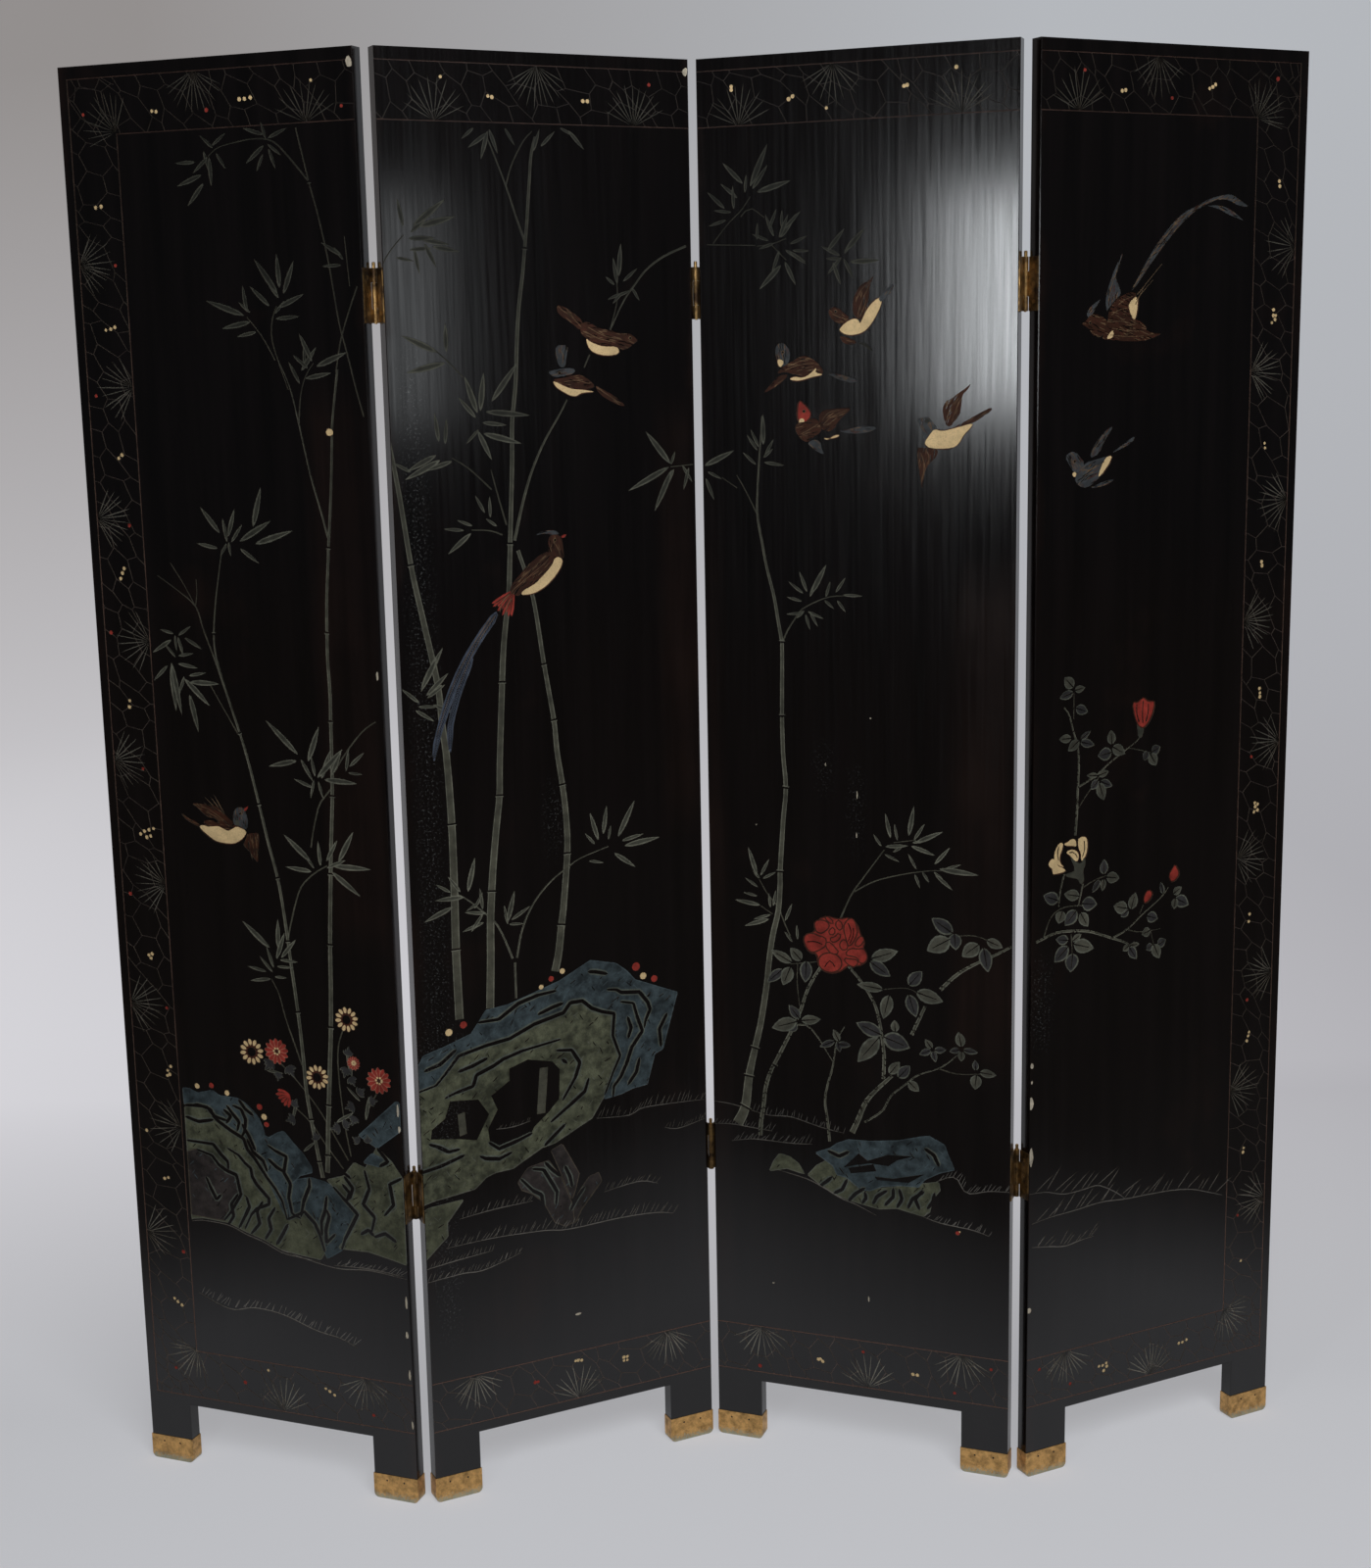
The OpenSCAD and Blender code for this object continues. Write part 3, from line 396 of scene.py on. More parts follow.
# Birds and the red and cream flowers, as patches in painting order: the paint, then the outline
PATCHES = {
    1: (
        ("brown_plumage", 140, 900, 152, 903, 166, 899, 180, 895, 192, 899, 198, 896, 190, 891, 170, 889,
         148, 891),
        ("cream", 135, 893, 139, 895, 150, 893, 163, 895, 170, 892, 177, 889, 183, 892, 190, 896,
         200, 893, 205, 890, 202, 885, 195, 878, 185, 873, 170, 873, 158, 875, 147, 882, 138, 889),
        ("brown_plumage", 125, 923, 140, 923, 155, 922, 166, 920, 172, 913, 180, 906, 187, 901, 182, 894,
         176, 895, 165, 898, 160, 905, 150, 905, 140, 912, 135, 917),
        ("grey_plumage", 186, 900, 186, 912, 190, 919, 196, 922, 202, 921, 206, 914, 208, 903, 206, 893,
         200, 893, 194, 897, 189, 897),
        ("leaf", 188, 898, 189, 905, 194, 904, 195, 897),
        ("coral", 201, 918, 210, 924, 205, 916),
        ("brown_plumage", 109, 910, 120, 903, 135, 898, 136, 892, 125, 896, 113, 903),
        ("brown_plumage", 205, 888, 215, 889, 223, 890, 222, 875, 220, 862, 219, 850, 214, 855, 207, 865,
         198, 872, 203, 880),
        ("cream", 348, 1385, 347, 1391, 352, 1394, 357, 1391, 356, 1385),
    ),
    2: (
        ("brown_plumage", 251, 1509, 257, 1515, 266, 1513, 275, 1507, 290, 1505, 303, 1500, 318, 1500,
         324, 1496, 330, 1491, 324, 1487, 315, 1481, 306, 1479, 300, 1485, 282, 1486, 268, 1490,
         258, 1495, 252, 1500),
        ("cream", 259, 1495, 263, 1491, 272, 1487, 282, 1484, 300, 1484, 304, 1479, 302, 1475, 292, 1473,
         278, 1474, 267, 1478, 261, 1485),
        ("brown_plumage", 220, 1534, 226, 1535, 240, 1528, 257, 1514, 252, 1503, 240, 1513, 222, 1524),
        ("grey_plumage", 217, 1487, 235, 1487, 232, 1473, 230, 1460, 222, 1460, 218, 1470),
        ("grey_plumage", 206, 1455, 213, 1457, 225, 1459, 240, 1459, 244, 1455, 236, 1450, 222, 1448,
         212, 1449),
        ("brown_plumage", 212, 1446, 225, 1447, 243, 1451, 252, 1450, 262, 1444, 270, 1436, 262, 1433,
         245, 1433, 230, 1437, 218, 1442),
        ("cream", 212, 1444, 220, 1441, 230, 1436, 240, 1433, 255, 1432, 270, 1429, 258, 1429, 250, 1428,
         243, 1424, 234, 1426, 225, 1431, 217, 1436),
        ("brown_plumage", 268, 1438, 280, 1432, 295, 1424, 311, 1411, 303, 1411, 288, 1418, 275, 1426),
        ("grey_plumage", 182, 1256, 190, 1260, 200, 1262, 210, 1261, 216, 1256, 208, 1255, 196, 1258),
        ("tail", 126, 1168, 100, 1138, 76, 1104, 57, 1066, 44, 1028, 36, 1000, 38, 981, 44, 1000,
         51, 1022, 65, 1056, 84, 1094, 106, 1128, 131, 1158),
        ("tail", 90, 1112, 72, 1074, 58, 1034, 56, 1010, 60, 990, 64, 1010, 66, 1032, 79, 1070, 97, 1108),
        ("brown_plumage", 201, 1254, 207, 1256, 215, 1255, 219, 1248, 220, 1238, 221, 1225, 214, 1227,
         207, 1228, 200, 1234, 199, 1243),
        ("coral", 217, 1253, 220, 1250, 226, 1255, 222, 1255),
        ("brown_plumage", 199, 1236, 190, 1233, 180, 1226, 170, 1219, 160, 1208, 150, 1199, 146, 1188,
         152, 1184, 158, 1182, 162, 1186, 175, 1193, 188, 1201, 200, 1212, 207, 1222, 208, 1229),
        ("cream", 208, 1226, 213, 1228, 219, 1224, 217, 1216, 210, 1206, 200, 1196, 190, 1189, 178, 1184,
         164, 1183, 161, 1185, 167, 1190, 177, 1194, 188, 1202, 198, 1211, 205, 1219),
    ),
    3: (
        ("brown_plumage", 200, 1533, 205, 1545, 212, 1554, 220, 1556, 228, 1564, 222, 1552, 221, 1540,
         219, 1528, 216, 1515, 210, 1510, 203, 1514, 200, 1520),
        ("cream", 183, 1500, 190, 1507, 200, 1512, 207, 1511, 209, 1505, 213, 1513, 216, 1519, 222, 1528,
         232, 1536, 238, 1536, 235, 1525, 228, 1512, 221, 1502, 213, 1495, 200, 1492, 190, 1493,
         183, 1498),
        ("grey_plumage", 232, 1536, 243, 1546, 251, 1554, 252, 1546, 244, 1538, 236, 1530),
        ("brown_plumage", 168, 1520, 171, 1525, 176, 1527, 183, 1525, 190, 1518, 197, 1513, 187, 1505,
         175, 1509),
        ("brown_plumage", 182, 1492, 192, 1490, 206, 1484, 200, 1480, 188, 1482),
        ("leaf", 206, 1482, 214, 1484, 226, 1474, 224, 1472, 213, 1480),
        ("brown_plumage", 104, 1445, 118, 1446, 104, 1433, 81, 1421, 92, 1433),
        ("grey_plumage", 99, 1478, 104, 1485, 112, 1484, 119, 1474, 118, 1462, 112, 1455, 104, 1457,
         100, 1466),
        ("cream", 101, 1463, 105, 1465, 111, 1461, 105, 1453),
        ("brown_plumage", 120, 1461, 132, 1468, 141, 1468, 150, 1463, 158, 1456, 163, 1447, 155, 1444,
         140, 1442, 125, 1445, 112, 1449, 100, 1446, 108, 1455),
        ("cream", 117, 1440, 124, 1443, 133, 1441, 140, 1443, 147, 1448, 153, 1454, 151, 1447, 163, 1445,
         152, 1443, 143, 1441, 133, 1438, 122, 1438),
        ("grey_plumage", 164, 1447, 185, 1445, 208, 1437, 200, 1434, 182, 1438),
        ("coral", 128, 1409, 131, 1414, 136, 1409, 142, 1404, 146, 1396, 141, 1388, 136, 1386, 129, 1386,
         127, 1395),
        ("cream", 129, 1389, 133, 1392, 137, 1389, 135, 1385, 130, 1385),
        ("brown_plumage", 124, 1380, 127, 1386, 138, 1387, 147, 1392, 155, 1389, 160, 1382, 158, 1374,
         148, 1368, 140, 1361, 131, 1366, 126, 1374),
        ("brown_plumage", 155, 1393, 160, 1401, 175, 1403, 199, 1404, 190, 1396, 180, 1387, 176, 1378,
         165, 1374, 157, 1380),
        ("cream", 161, 1367, 166, 1364, 175, 1370, 183, 1371, 180, 1368, 170, 1366),
        ("grey_plumage", 140, 1361, 150, 1366, 158, 1362, 159, 1354, 163, 1346, 153, 1350, 145, 1356),
        ("grey_plumage", 180, 1376, 196, 1378, 210, 1382, 233, 1380, 222, 1374, 206, 1372, 190, 1373),
        ("grey_plumage", 281, 1389, 290, 1392, 297, 1391, 301, 1385, 308, 1378, 303, 1375, 296, 1370,
         291, 1362, 286, 1379),
        ("leaf", 290, 1385, 293, 1390, 298, 1388, 296, 1384),
        ("cream", 291, 1361, 298, 1371, 303, 1377, 313, 1374, 325, 1377, 337, 1380, 352, 1384, 349, 1379,
         340, 1370, 333, 1358, 326, 1354, 310, 1353, 297, 1354, 292, 1358),
        ("brown_plumage", 327, 1379, 340, 1385, 356, 1394, 374, 1403, 375, 1399, 365, 1392, 352, 1384,
         340, 1381),
        ("brown_plumage", 318, 1381, 315, 1390, 313, 1402, 318, 1411, 325, 1414, 333, 1420, 344, 1427,
         349, 1432, 345, 1424, 338, 1418, 337, 1405, 335, 1393, 328, 1386, 324, 1380),
        ("brown_plumage", 281, 1354, 290, 1355, 309, 1353, 306, 1343, 299, 1337, 293, 1330, 290, 1318,
         288, 1302, 286, 1316, 283, 1333),
        # The peony between the rose bushes
        ("coral", 131, 712, 134, 724, 146, 730, 148, 745, 162, 752, 176, 748, 192, 752, 204, 742,
         206, 730, 213, 722, 210, 712, 216, 700, 208, 688, 190, 688, 178, 677, 160, 675, 148, 688,
         148, 700, 136, 701),
        ("coral", 148, 689, 153, 699, 165, 703, 177, 699, 182, 689, 177, 679, 165, 675, 153, 679),
        ("coral", 129, 720, 134, 726, 143, 727, 150, 724, 160, 722, 160, 712, 153, 706, 143, 701,
         136, 702, 131, 710),
        ("coral", 145, 744, 155, 746, 163, 743, 165, 737, 158, 730, 152, 727, 146, 730, 144, 738),
        ("coral", 157, 751, 163, 751, 171, 744, 168, 741, 162, 744),
        ("coral", 172, 743, 178, 748, 183, 740, 180, 733, 175, 735),
        ("coral", 183, 738, 188, 748, 196, 752, 200, 745, 203, 735, 200, 725, 195, 716, 190, 712,
         187, 722),
        ("coral", 198, 716, 203, 725, 208, 729, 212, 724, 208, 716, 202, 713),
        ("coral", 187, 706, 195, 711, 203, 710, 210, 712, 215, 706, 216, 698, 211, 691, 204, 692,
         203, 698, 195, 700, 187, 700),
        ("coral", 184, 697, 192, 696, 202, 696, 203, 690, 197, 685, 190, 688, 185, 692),
        ("coral", 179, 709, 178, 716, 184, 723, 189, 717, 189, 709, 184, 707),
        ("coral", 158, 715, 165, 717, 172, 710, 178, 703, 170, 700, 162, 705),
        ("coral", 162, 728, 168, 738, 173, 733, 170, 726),
        ("coral", 164, 722, 172, 724, 176, 730, 181, 727, 176, 719, 168, 716),
    ),
    4: (
        ("grey_plumage", 70, 1510, 73, 1518, 82, 1524, 92, 1530, 86, 1522, 80, 1512, 74, 1506),
        ("grey_plumage", 100, 1513, 98, 1530, 104, 1548, 109, 1560, 117, 1575, 124, 1586, 118, 1568,
         112, 1557, 118, 1545, 122, 1535, 112, 1527, 103, 1518),
        ("grey_plumage", 135, 1537, 150, 1560, 163, 1580, 180, 1601, 198, 1620, 215, 1633, 240, 1643,
         255, 1650, 280, 1655, 290, 1655, 303, 1648, 318, 1640, 300, 1641, 285, 1648, 270, 1649,
         250, 1643, 230, 1633, 210, 1618, 190, 1598, 172, 1578, 155, 1558, 143, 1543),
        ("grey_plumage", 248, 1641, 265, 1642, 280, 1640, 295, 1633, 311, 1622, 300, 1626, 285, 1630,
         270, 1637, 255, 1640),
        ("brown_plumage", 103, 1515, 113, 1528, 125, 1534, 137, 1538, 146, 1535, 140, 1520, 143, 1505,
         150, 1503, 162, 1495, 160, 1491, 175, 1487, 186, 1487, 170, 1481, 155, 1478, 130, 1478,
         110, 1480, 93, 1481, 98, 1490, 102, 1502),
        ("brown_plumage", 62, 1500, 68, 1502, 76, 1510, 84, 1512, 98, 1507, 103, 1500, 100, 1490,
         90, 1482, 80, 1486, 73, 1495),
        ("cream", 133, 1524, 148, 1534, 146, 1509, 142, 1503, 136, 1512),
        ("cream", 100, 1481, 109, 1492, 112, 1489, 110, 1482),
        ("grey_plumage", 41, 1341, 49, 1347, 57, 1347, 65, 1339, 71, 1333, 65, 1321, 55, 1321, 49, 1329),
        ("cream", 52, 1319, 56, 1323, 60, 1319, 56, 1315),
        ("grey_plumage", 71, 1333, 91, 1337, 111, 1341, 103, 1323, 93, 1313, 75, 1301, 61, 1305, 55, 1315),
        ("grey_plumage", 77, 1337, 85, 1355, 101, 1371, 115, 1377, 99, 1357, 93, 1343),
        ("grey_plumage", 111, 1343, 131, 1355, 148, 1364, 143, 1355, 119, 1345),
        ("cream", 91, 1314, 101, 1337, 113, 1341, 109, 1331, 97, 1317),
        ("grey_plumage", 75, 1301, 99, 1309, 119, 1312, 103, 1303),
        # The bud above and the cream rose with its sepals
        ("leaf", 157, 1009, 171, 995, 167, 981, 161, 981, 159, 995),
        ("coral", 151, 1029, 160, 1027, 168, 1034, 176, 1027, 187, 1028, 183, 1008, 171, 993, 161, 997,
         154, 1012),
        ("leaf", 56, 841, 66, 832, 74, 827, 81, 836, 82, 826, 78, 818, 80, 808, 79, 802, 74, 800, 70, 808,
         62, 810, 52, 813, 50, 817, 60, 818, 66, 820),
        ("cream", 24, 832, 28, 838, 33, 839, 37, 833, 40, 828, 47, 825, 53, 820, 35, 818, 31, 819,
         31, 826, 26, 829),
        ("cream", 33, 840, 35, 850, 41, 858, 47, 858, 46, 850, 42, 842, 42, 832, 50, 825, 40, 829,
         36, 834),
        ("cream", 47, 856, 55, 858, 59, 861, 66, 860, 68, 850, 62, 852, 52, 853),
        ("cream", 70, 850, 70, 861, 76, 862, 83, 861, 85, 850, 83, 838, 78, 832, 75, 830, 75, 840),
        ("cream", 50, 845, 62, 848, 71, 842, 71, 832, 66, 831, 58, 840),
        ("coral", 175, 769, 179, 777, 183, 780, 190, 775, 187, 767, 177, 761),
        ("coral", 215, 795, 221, 803, 225, 809, 229, 803, 233, 795, 227, 787, 219, 785),
    ),
}

# Rocks as patches in painting order: the paint, then the outline
ROCKS = {
    1: (
        ("rock_green", 86, 512, 126, 513, 136, 498, 173, 478, 204, 429, 232, 373, 258, 387, 273, 373,
         279, 360, 286, 335, 279, 324, 245, 327, 220, 330, 195, 341, 170, 348, 142, 358, 104, 360,
         86, 357),
        ("shade", 86, 362, 86, 450, 100, 455, 123, 449, 145, 430, 159, 426, 164, 399, 147, 373, 136, 360),
        ("rock_blue", 85, 538, 95, 538, 107, 533, 130, 539, 140, 533, 168, 532, 178, 527, 190, 517,
         198, 507, 203, 495, 205, 485, 212, 483, 225, 491, 234, 494, 245, 482, 262, 465, 272, 450,
         273, 443, 255, 437, 238, 421, 232, 373, 204, 429, 173, 478, 136, 498, 126, 513, 104, 517,
         86, 515),
        ("rock_blue", 239, 421, 251, 430, 270, 435, 289, 432, 303, 427, 317, 413, 337, 393, 326, 373,
         317, 357, 311, 341, 289, 327, 286, 335, 279, 360, 273, 373, 258, 387, 236, 375),
        ("rock_green", 307, 343, 351, 344, 382, 338, 404, 333, 404, 450, 390, 470, 370, 487, 352, 457,
         336, 463, 320, 443, 295, 435, 303, 427, 317, 413, 337, 393, 326, 373, 317, 357),
        ("rock_blue", 345, 501, 400, 551, 404, 551, 404, 513, 370, 487),
        ("rock_blue", 350, 465, 362, 478, 385, 470, 372, 462),
    ),
    2: (
        ("rock_green", -6, 563, 23, 569, 37, 583, 55, 603, 93, 611, 125, 615, 160, 629, 201, 638,
         211, 650, 228, 650, 241, 638, 256, 631, 273, 626, 270, 596, 280, 567, 270, 548, 256, 517,
         237, 489, 183, 464, 165, 461, 141, 449, 123, 440, 99, 439, 86, 435, 70, 422, 12, 416, -6, 412),
        ("rock_blue", -6, 586, 8, 610, 35, 617, 73, 629, 84, 643, 94, 657, 125, 660, 156, 669, 197, 681,
         222, 693, 241, 702, 277, 693, 292, 681, 304, 667, 325, 658, 365, 641, 342, 567, 330, 562,
         318, 522, 297, 520, 280, 515, 256, 512, 270, 548, 280, 567, 270, 596, 273, 626, 256, 631,
         241, 638, 228, 650, 211, 650, 201, 638, 160, 629, 125, 615, 93, 611, 55, 603, 37, 583, 23, 569,
         -6, 563),
        ("lacquer", 123, 575, 149, 583, 183, 575, 193, 563, 191, 523, 175, 507, 155, 491, 149, 481,
         107, 470, 93, 481, 91, 499, 105, 523, 97, 543, 123, 559),
        ("lacquer", 41, 545, 79, 541, 93, 519, 75, 487, 51, 493, 13, 499, 15, 511, 33, 523),
        ("bamboo", 165, 569, 177, 569, 171, 507, 159, 507),
        ("bamboo", 50, 526, 60, 528, 62, 498, 52, 496),
        ("rock_green", -6, 400, 5, 407, 20, 408, 53, 410, 30, 383, 30, 365, -1, 338, -6, 340),
        ("shade", 130, 419, 144, 436, 173, 441, 190, 415, 213, 352, 195, 346, 180, 355, 165, 385,
         150, 400, 135, 408),
        ("shade", 178, 454, 193, 460, 202, 443, 216, 415, 210, 394, 205, 382, 193, 415),
        ("shade", 218, 393, 231, 408, 244, 411, 248, 399, 218, 365, 208, 348, 207, 376),
    ),
    3: (
        ("rock_green", 133, 393, 145, 407, 157, 415, 171, 405, 187, 393, 207, 377, 219, 383, 251, 389,
         283, 397, 311, 403, 313, 393, 303, 379, 299, 361, 291, 354, 275, 357, 255, 361, 231, 357,
         207, 361, 187, 365, 167, 371, 150, 381),
        ("rock_blue", 144, 425, 165, 434, 173, 441, 189, 448, 218, 449, 257, 454, 289, 463, 298, 465,
         319, 455, 323, 443, 332, 423, 313, 417, 292, 405, 284, 394, 257, 393, 234, 389, 218, 381,
         207, 381, 186, 396, 173, 398, 168, 410),
        ("lacquer", 203, 431, 215, 422, 242, 433, 276, 435, 255, 427, 244, 418, 218, 419, 197, 414,
         182, 409),
        ("lacquer", 189, 409, 223, 418, 227, 409, 192, 402),
        ("lacquer", 225, 401, 250, 401, 292, 412, 271, 398, 228, 397),
        ("rock_green", 79, 393, 85, 407, 93, 418, 107, 415, 119, 407, 127, 394, 103, 399),
    ),
}

# Black ridges that are left standing between the facets of the rocks
RIDGES = {
    1: (
        (112, 418, 118, 404, 126, 388, 134, 396), (140, 352, 151, 368, 148, 384, 160, 400),
        (158, 352, 169, 371, 176, 384, 172, 398), (176, 346, 190, 362, 187, 379, 197, 394),
        (197, 341, 207, 356, 204, 371, 215, 388), (214, 336, 223, 350, 233, 367),
        (178, 478, 186, 461, 201, 450, 206, 436), (101, 518, 121, 515, 131, 504, 149, 500),
        (150, 521, 160, 509, 168, 500, 164, 487), (169, 531, 178, 519, 190, 511),
        (172, 498, 182, 481, 190, 463), (310, 470, 321, 462, 318, 449, 330, 441),
        (317, 432, 327, 421, 322, 409), (340, 366, 352, 374, 360, 366),
        (86, 515, 104, 517, 126, 513, 129, 504, 136, 498, 154, 487, 173, 478, 178, 463, 189, 451,
         204, 429, 217, 413, 226, 398, 232, 373), (86, 499, 106, 494, 129, 499),
        (159, 522, 172, 518, 178, 504, 175, 487, 170, 480), (145, 515, 156, 507, 148, 496),
        (208, 473, 220, 466, 236, 460, 231, 438, 240, 423, 236, 404, 240, 382, 253, 377),
        (208, 454, 220, 444, 233, 438), (86, 466, 126, 465, 137, 452, 147, 443, 147, 432),
        (100, 455, 123, 449, 133, 437, 145, 430, 159, 426, 164, 399, 147, 373, 136, 360),
        (147, 462, 164, 454, 173, 444, 181, 438, 183, 426, 189, 416, 206, 399, 206, 391, 186, 382,
         178, 373, 167, 352), (268, 435, 268, 423, 258, 401, 253, 379),
        (232, 373, 258, 387, 273, 373, 279, 360, 286, 335), (293, 413, 289, 391, 283, 376, 283, 357),
        (292, 394, 295, 385, 289, 366, 289, 348, 303, 362),
        (303, 427, 317, 413, 337, 393, 326, 373, 317, 357, 311, 341), (320, 443, 332, 428, 326, 412),
        (350, 455, 356, 430, 346, 408, 362, 392, 356, 370), (404, 450, 386, 440, 390, 412, 376, 396),
        (370, 487, 385, 470, 372, 462), (360, 365, 376, 372, 392, 362),
    ),
    2: (
        (-5, 563, 23, 569, 37, 583, 55, 603, 93, 611, 125, 615, 160, 629, 201, 638, 211, 650, 228, 650,
         241, 638, 256, 631, 273, 626, 270, 596, 280, 567, 270, 548, 256, 517),
        (82, 643, 111, 643, 139, 660, 166, 667, 192, 669), (165, 641, 187, 648, 201, 651),
        (237, 688, 249, 686, 265, 681),
        (263, 660, 277, 658, 284, 653, 310, 650, 322, 634, 325, 624, 318, 610, 316, 600),
        (282, 641, 301, 636, 306, 617, 313, 596, 297, 576, 289, 555, 280, 538, 270, 527, 268, 512),
        (292, 619, 297, 603, 292, 589), (308, 560, 303, 541, 290, 525),
        (34, 550, 49, 555, 73, 560, 78, 574, 101, 582, 115, 589, 142, 596, 196, 603),
        (53, 582, 74, 587, 94, 594), (189, 589, 211, 586, 222, 567, 215, 548, 196, 520),
        (196, 576, 200, 573, 204, 569), (234, 544, 228, 527, 208, 513, 178, 493),
        (-6, 456, 26, 461, 58, 470), (10, 493, 23, 487, 36, 478, 52, 479),
        (78, 465, 86, 460, 105, 456, 123, 462), (91, 481, 105, 470, 131, 476, 152, 483),
        (168, 462, 184, 475, 199, 487), (8, 590, 30, 596, 52, 612), (340, 570, 338, 595, 350, 615),
        (133, 424, 150, 404, 162, 396, 164, 378, 160, 362),
        (150, 434, 166, 430, 178, 408, 184, 396, 182, 378), (168, 440, 178, 428, 190, 416),
        (196, 430, 203, 414, 206, 398), (224, 396, 212, 382, 202, 366),
    ),
    3: (
        (148, 378, 160, 388, 166, 394), (188, 362, 198, 374, 212, 384), (222, 362, 228, 374, 242, 384),
        (238, 362, 250, 376, 250, 388), (270, 362, 276, 376, 292, 388), (296, 364, 304, 376, 306, 388),
        (168, 371, 180, 378, 187, 393), (207, 361, 213, 370, 211, 378), (255, 361, 262, 374, 258, 388),
        (160, 430, 176, 424, 190, 432), (292, 448, 305, 440, 312, 425), (286, 362, 280, 376, 290, 390),
    ),
}

# Ground lines: shortest blade, longest blade, how far the blades lean in degrees, then the points
GROUND = {
    1: (
        (14, 20, 75, 89, 252, 137, 235, 175, 242, 219, 238, 267, 223, 303, 217, 327, 207),
        (10, 18, 60, 298, 318, 351, 320, 400, 316),
        (0, 0, 0, 220, 329, 298, 315, 351, 318, 404, 313),
        (0, 0, 0, 86, 353, 104, 356, 142, 354, 170, 344, 195, 337, 220, 326, 245, 323, 279, 320),
    ),
    2: (
        (10, 20, 80, 243, 487, 291, 483, 315, 490, 403, 486),
        (8, 14, 80, 343, 457, 363, 452, 403, 459),
        (10, 18, 75, 251, 383, 303, 388, 331, 380),
        (10, 18, 80, 47, 385, 95, 389, 149, 390),
        (12, 22, 75, 27, 349, 95, 350, 163, 346, 199, 341, 275, 342, 327, 339, 353, 333),
        (8, 14, 80, -5, 325, 35, 329, 91, 333),
        (10, 16, 75, -5, 307, 47, 310, 79, 309, 131, 322),
        (5, 10, 85, 102, 497, 125, 496, 150, 500),
    ),
    3: (
        (8, 14, 90, 55, 475, 79, 471, 107, 472, 131, 467, 155, 461, 183, 457),
        (0, 0, 0, -1, 483, 27, 481, 55, 475),
        (8, 14, 80, -1, 451, 27, 453, 55, 451, 83, 449),
        (10, 18, 75, 25, 429, 55, 435, 87, 435, 115, 435, 139, 437),
        (0, 0, 0, 91, 395, 131, 387, 155, 377, 179, 365, 199, 359, 227, 347),
        (10, 18, 80, 307, 403, 333, 413, 349, 393, 379, 399, 411, 401),
        (8, 16, 75, 291, 353, 315, 347, 355, 343, 379, 337),
    ),
    4: (
        (30, 45, 60, -1, 397, 27, 395, 55, 387, 83, 387, 107, 389, 123, 383, 143, 371, 155, 361),
        (20, 40, 65, 5, 355, 35, 359, 75, 361, 115, 364, 155, 361, 195, 360, 235, 358, 267, 353, 291, 345,
         319, 335),
        (15, 30, 65, 5, 323, 31, 319, 59, 314, 79, 317, 105, 319),
    ),
}

# Chrysanthemums on the first panel: the paint of the petals, the place and the radius
CHRYSANTHEMUMS = (
    ("cream", 193, 598, 17), ("cream", 288, 573, 16), ("cream", 335, 654, 16), ("coral", 230, 602, 17),
    ("coral", 377, 577, 17), ("coral", 342, 597, 9),
)

# Lobed leaves of the chrysanthemums: the foot, the direction of the tip and the length
LOBED_LEAVES = {
    1: (
        (222, 588, 230, 18), (246, 584, 300, 18), (232, 574, 260, 13), (334, 606, 80, 14),
        (332, 590, 250, 16), (336, 578, 300, 15), (346, 556, 40, 15), (362, 548, 10, 14),
        (340, 540, 200, 16), (340, 526, 250, 15), (322, 512, 20, 15), (318, 508, 190, 16),
        (250, 530, 60, 14), (252, 514, 200, 16), (284, 488, 120, 14), (358, 492, 100, 12),
        (345, 492, 150, 13),
    ),
}

# Fans of narrow petals or feathers: the paint, the foot, the first and last direction, how many,
# the longest and the width
PLUMES = {
    1: (
        ("coral", 246, 546, 165, 262, 6, 23, 6), ("feather_line", 178, 904, 120, 168, 6, 46, 1.6),
        ("lacquer", 178, 904, 124, 172, 6, 44, 1.4), ("feather_line", 206, 882, 280, 310, 4, 30, 1.4),
    ),
    2: (("coral", 152, 1190, 206, 262, 9, 36, 5), ("halo", 152, 1190, 211, 258, 5, 32, 1.6)),
}

# Quills of the long tail feathers on panel 2
TAIL_QUILLS = {
    2: (
        (128, 1162, 103, 1132, 79, 1098, 60, 1060, 47, 1024, 39, 988),
        (90, 1106, 73, 1068, 61, 1030, 60, 998),
    ),
}

# The first of a panel's stalks that are woody and barked, counted from 0
WOODY_FROM = {3: 16, 4: 0}

# Where the lacquer is rubbed brown, and where it is scuffed pale: left, right, lowest and highest place
RUBBED_BANDS = {
    1: ((322, 406, 760, 1430),),
    2: ((356, 406, 880, 1400),),
    3: ((0, 20, 200, 1300), (330, 406, 560, 1200)),
}
SCUFFED_BANDS = {
    2: ((16, 42, 230, 1480), (186, 208, 860, 930), (0, 60, 500, 640)),
    3: ((197, 207, 850, 945), (150, 168, 930, 965)),
    4: ((0, 30, 600, 700),),
}

# Loose petals and berries in the pictures: the paint, the place and the diameter
LOOSE_DOTS = {
    1: (
        ("cream", 107, 543, 8), ("coral", 129, 546, 8), ("cream", 152, 538, 8), ("coral", 200, 524, 9),
        ("cream", 206, 511, 9), ("coral", 209, 501, 8),
    ),
    2: (
        ("cream", 43, 636, 10), ("coral", 63, 643, 10), ("cream", 171, 677, 7), ("coral", 185, 686, 8),
        ("cream", 201, 694, 8), ("coral", 306, 685, 12), ("cream", 316, 671, 10), ("coral", 332, 665, 10),
    ),
    3: (("coral", 337, 336, 6), ("cream", 340, 338, 3)),
}

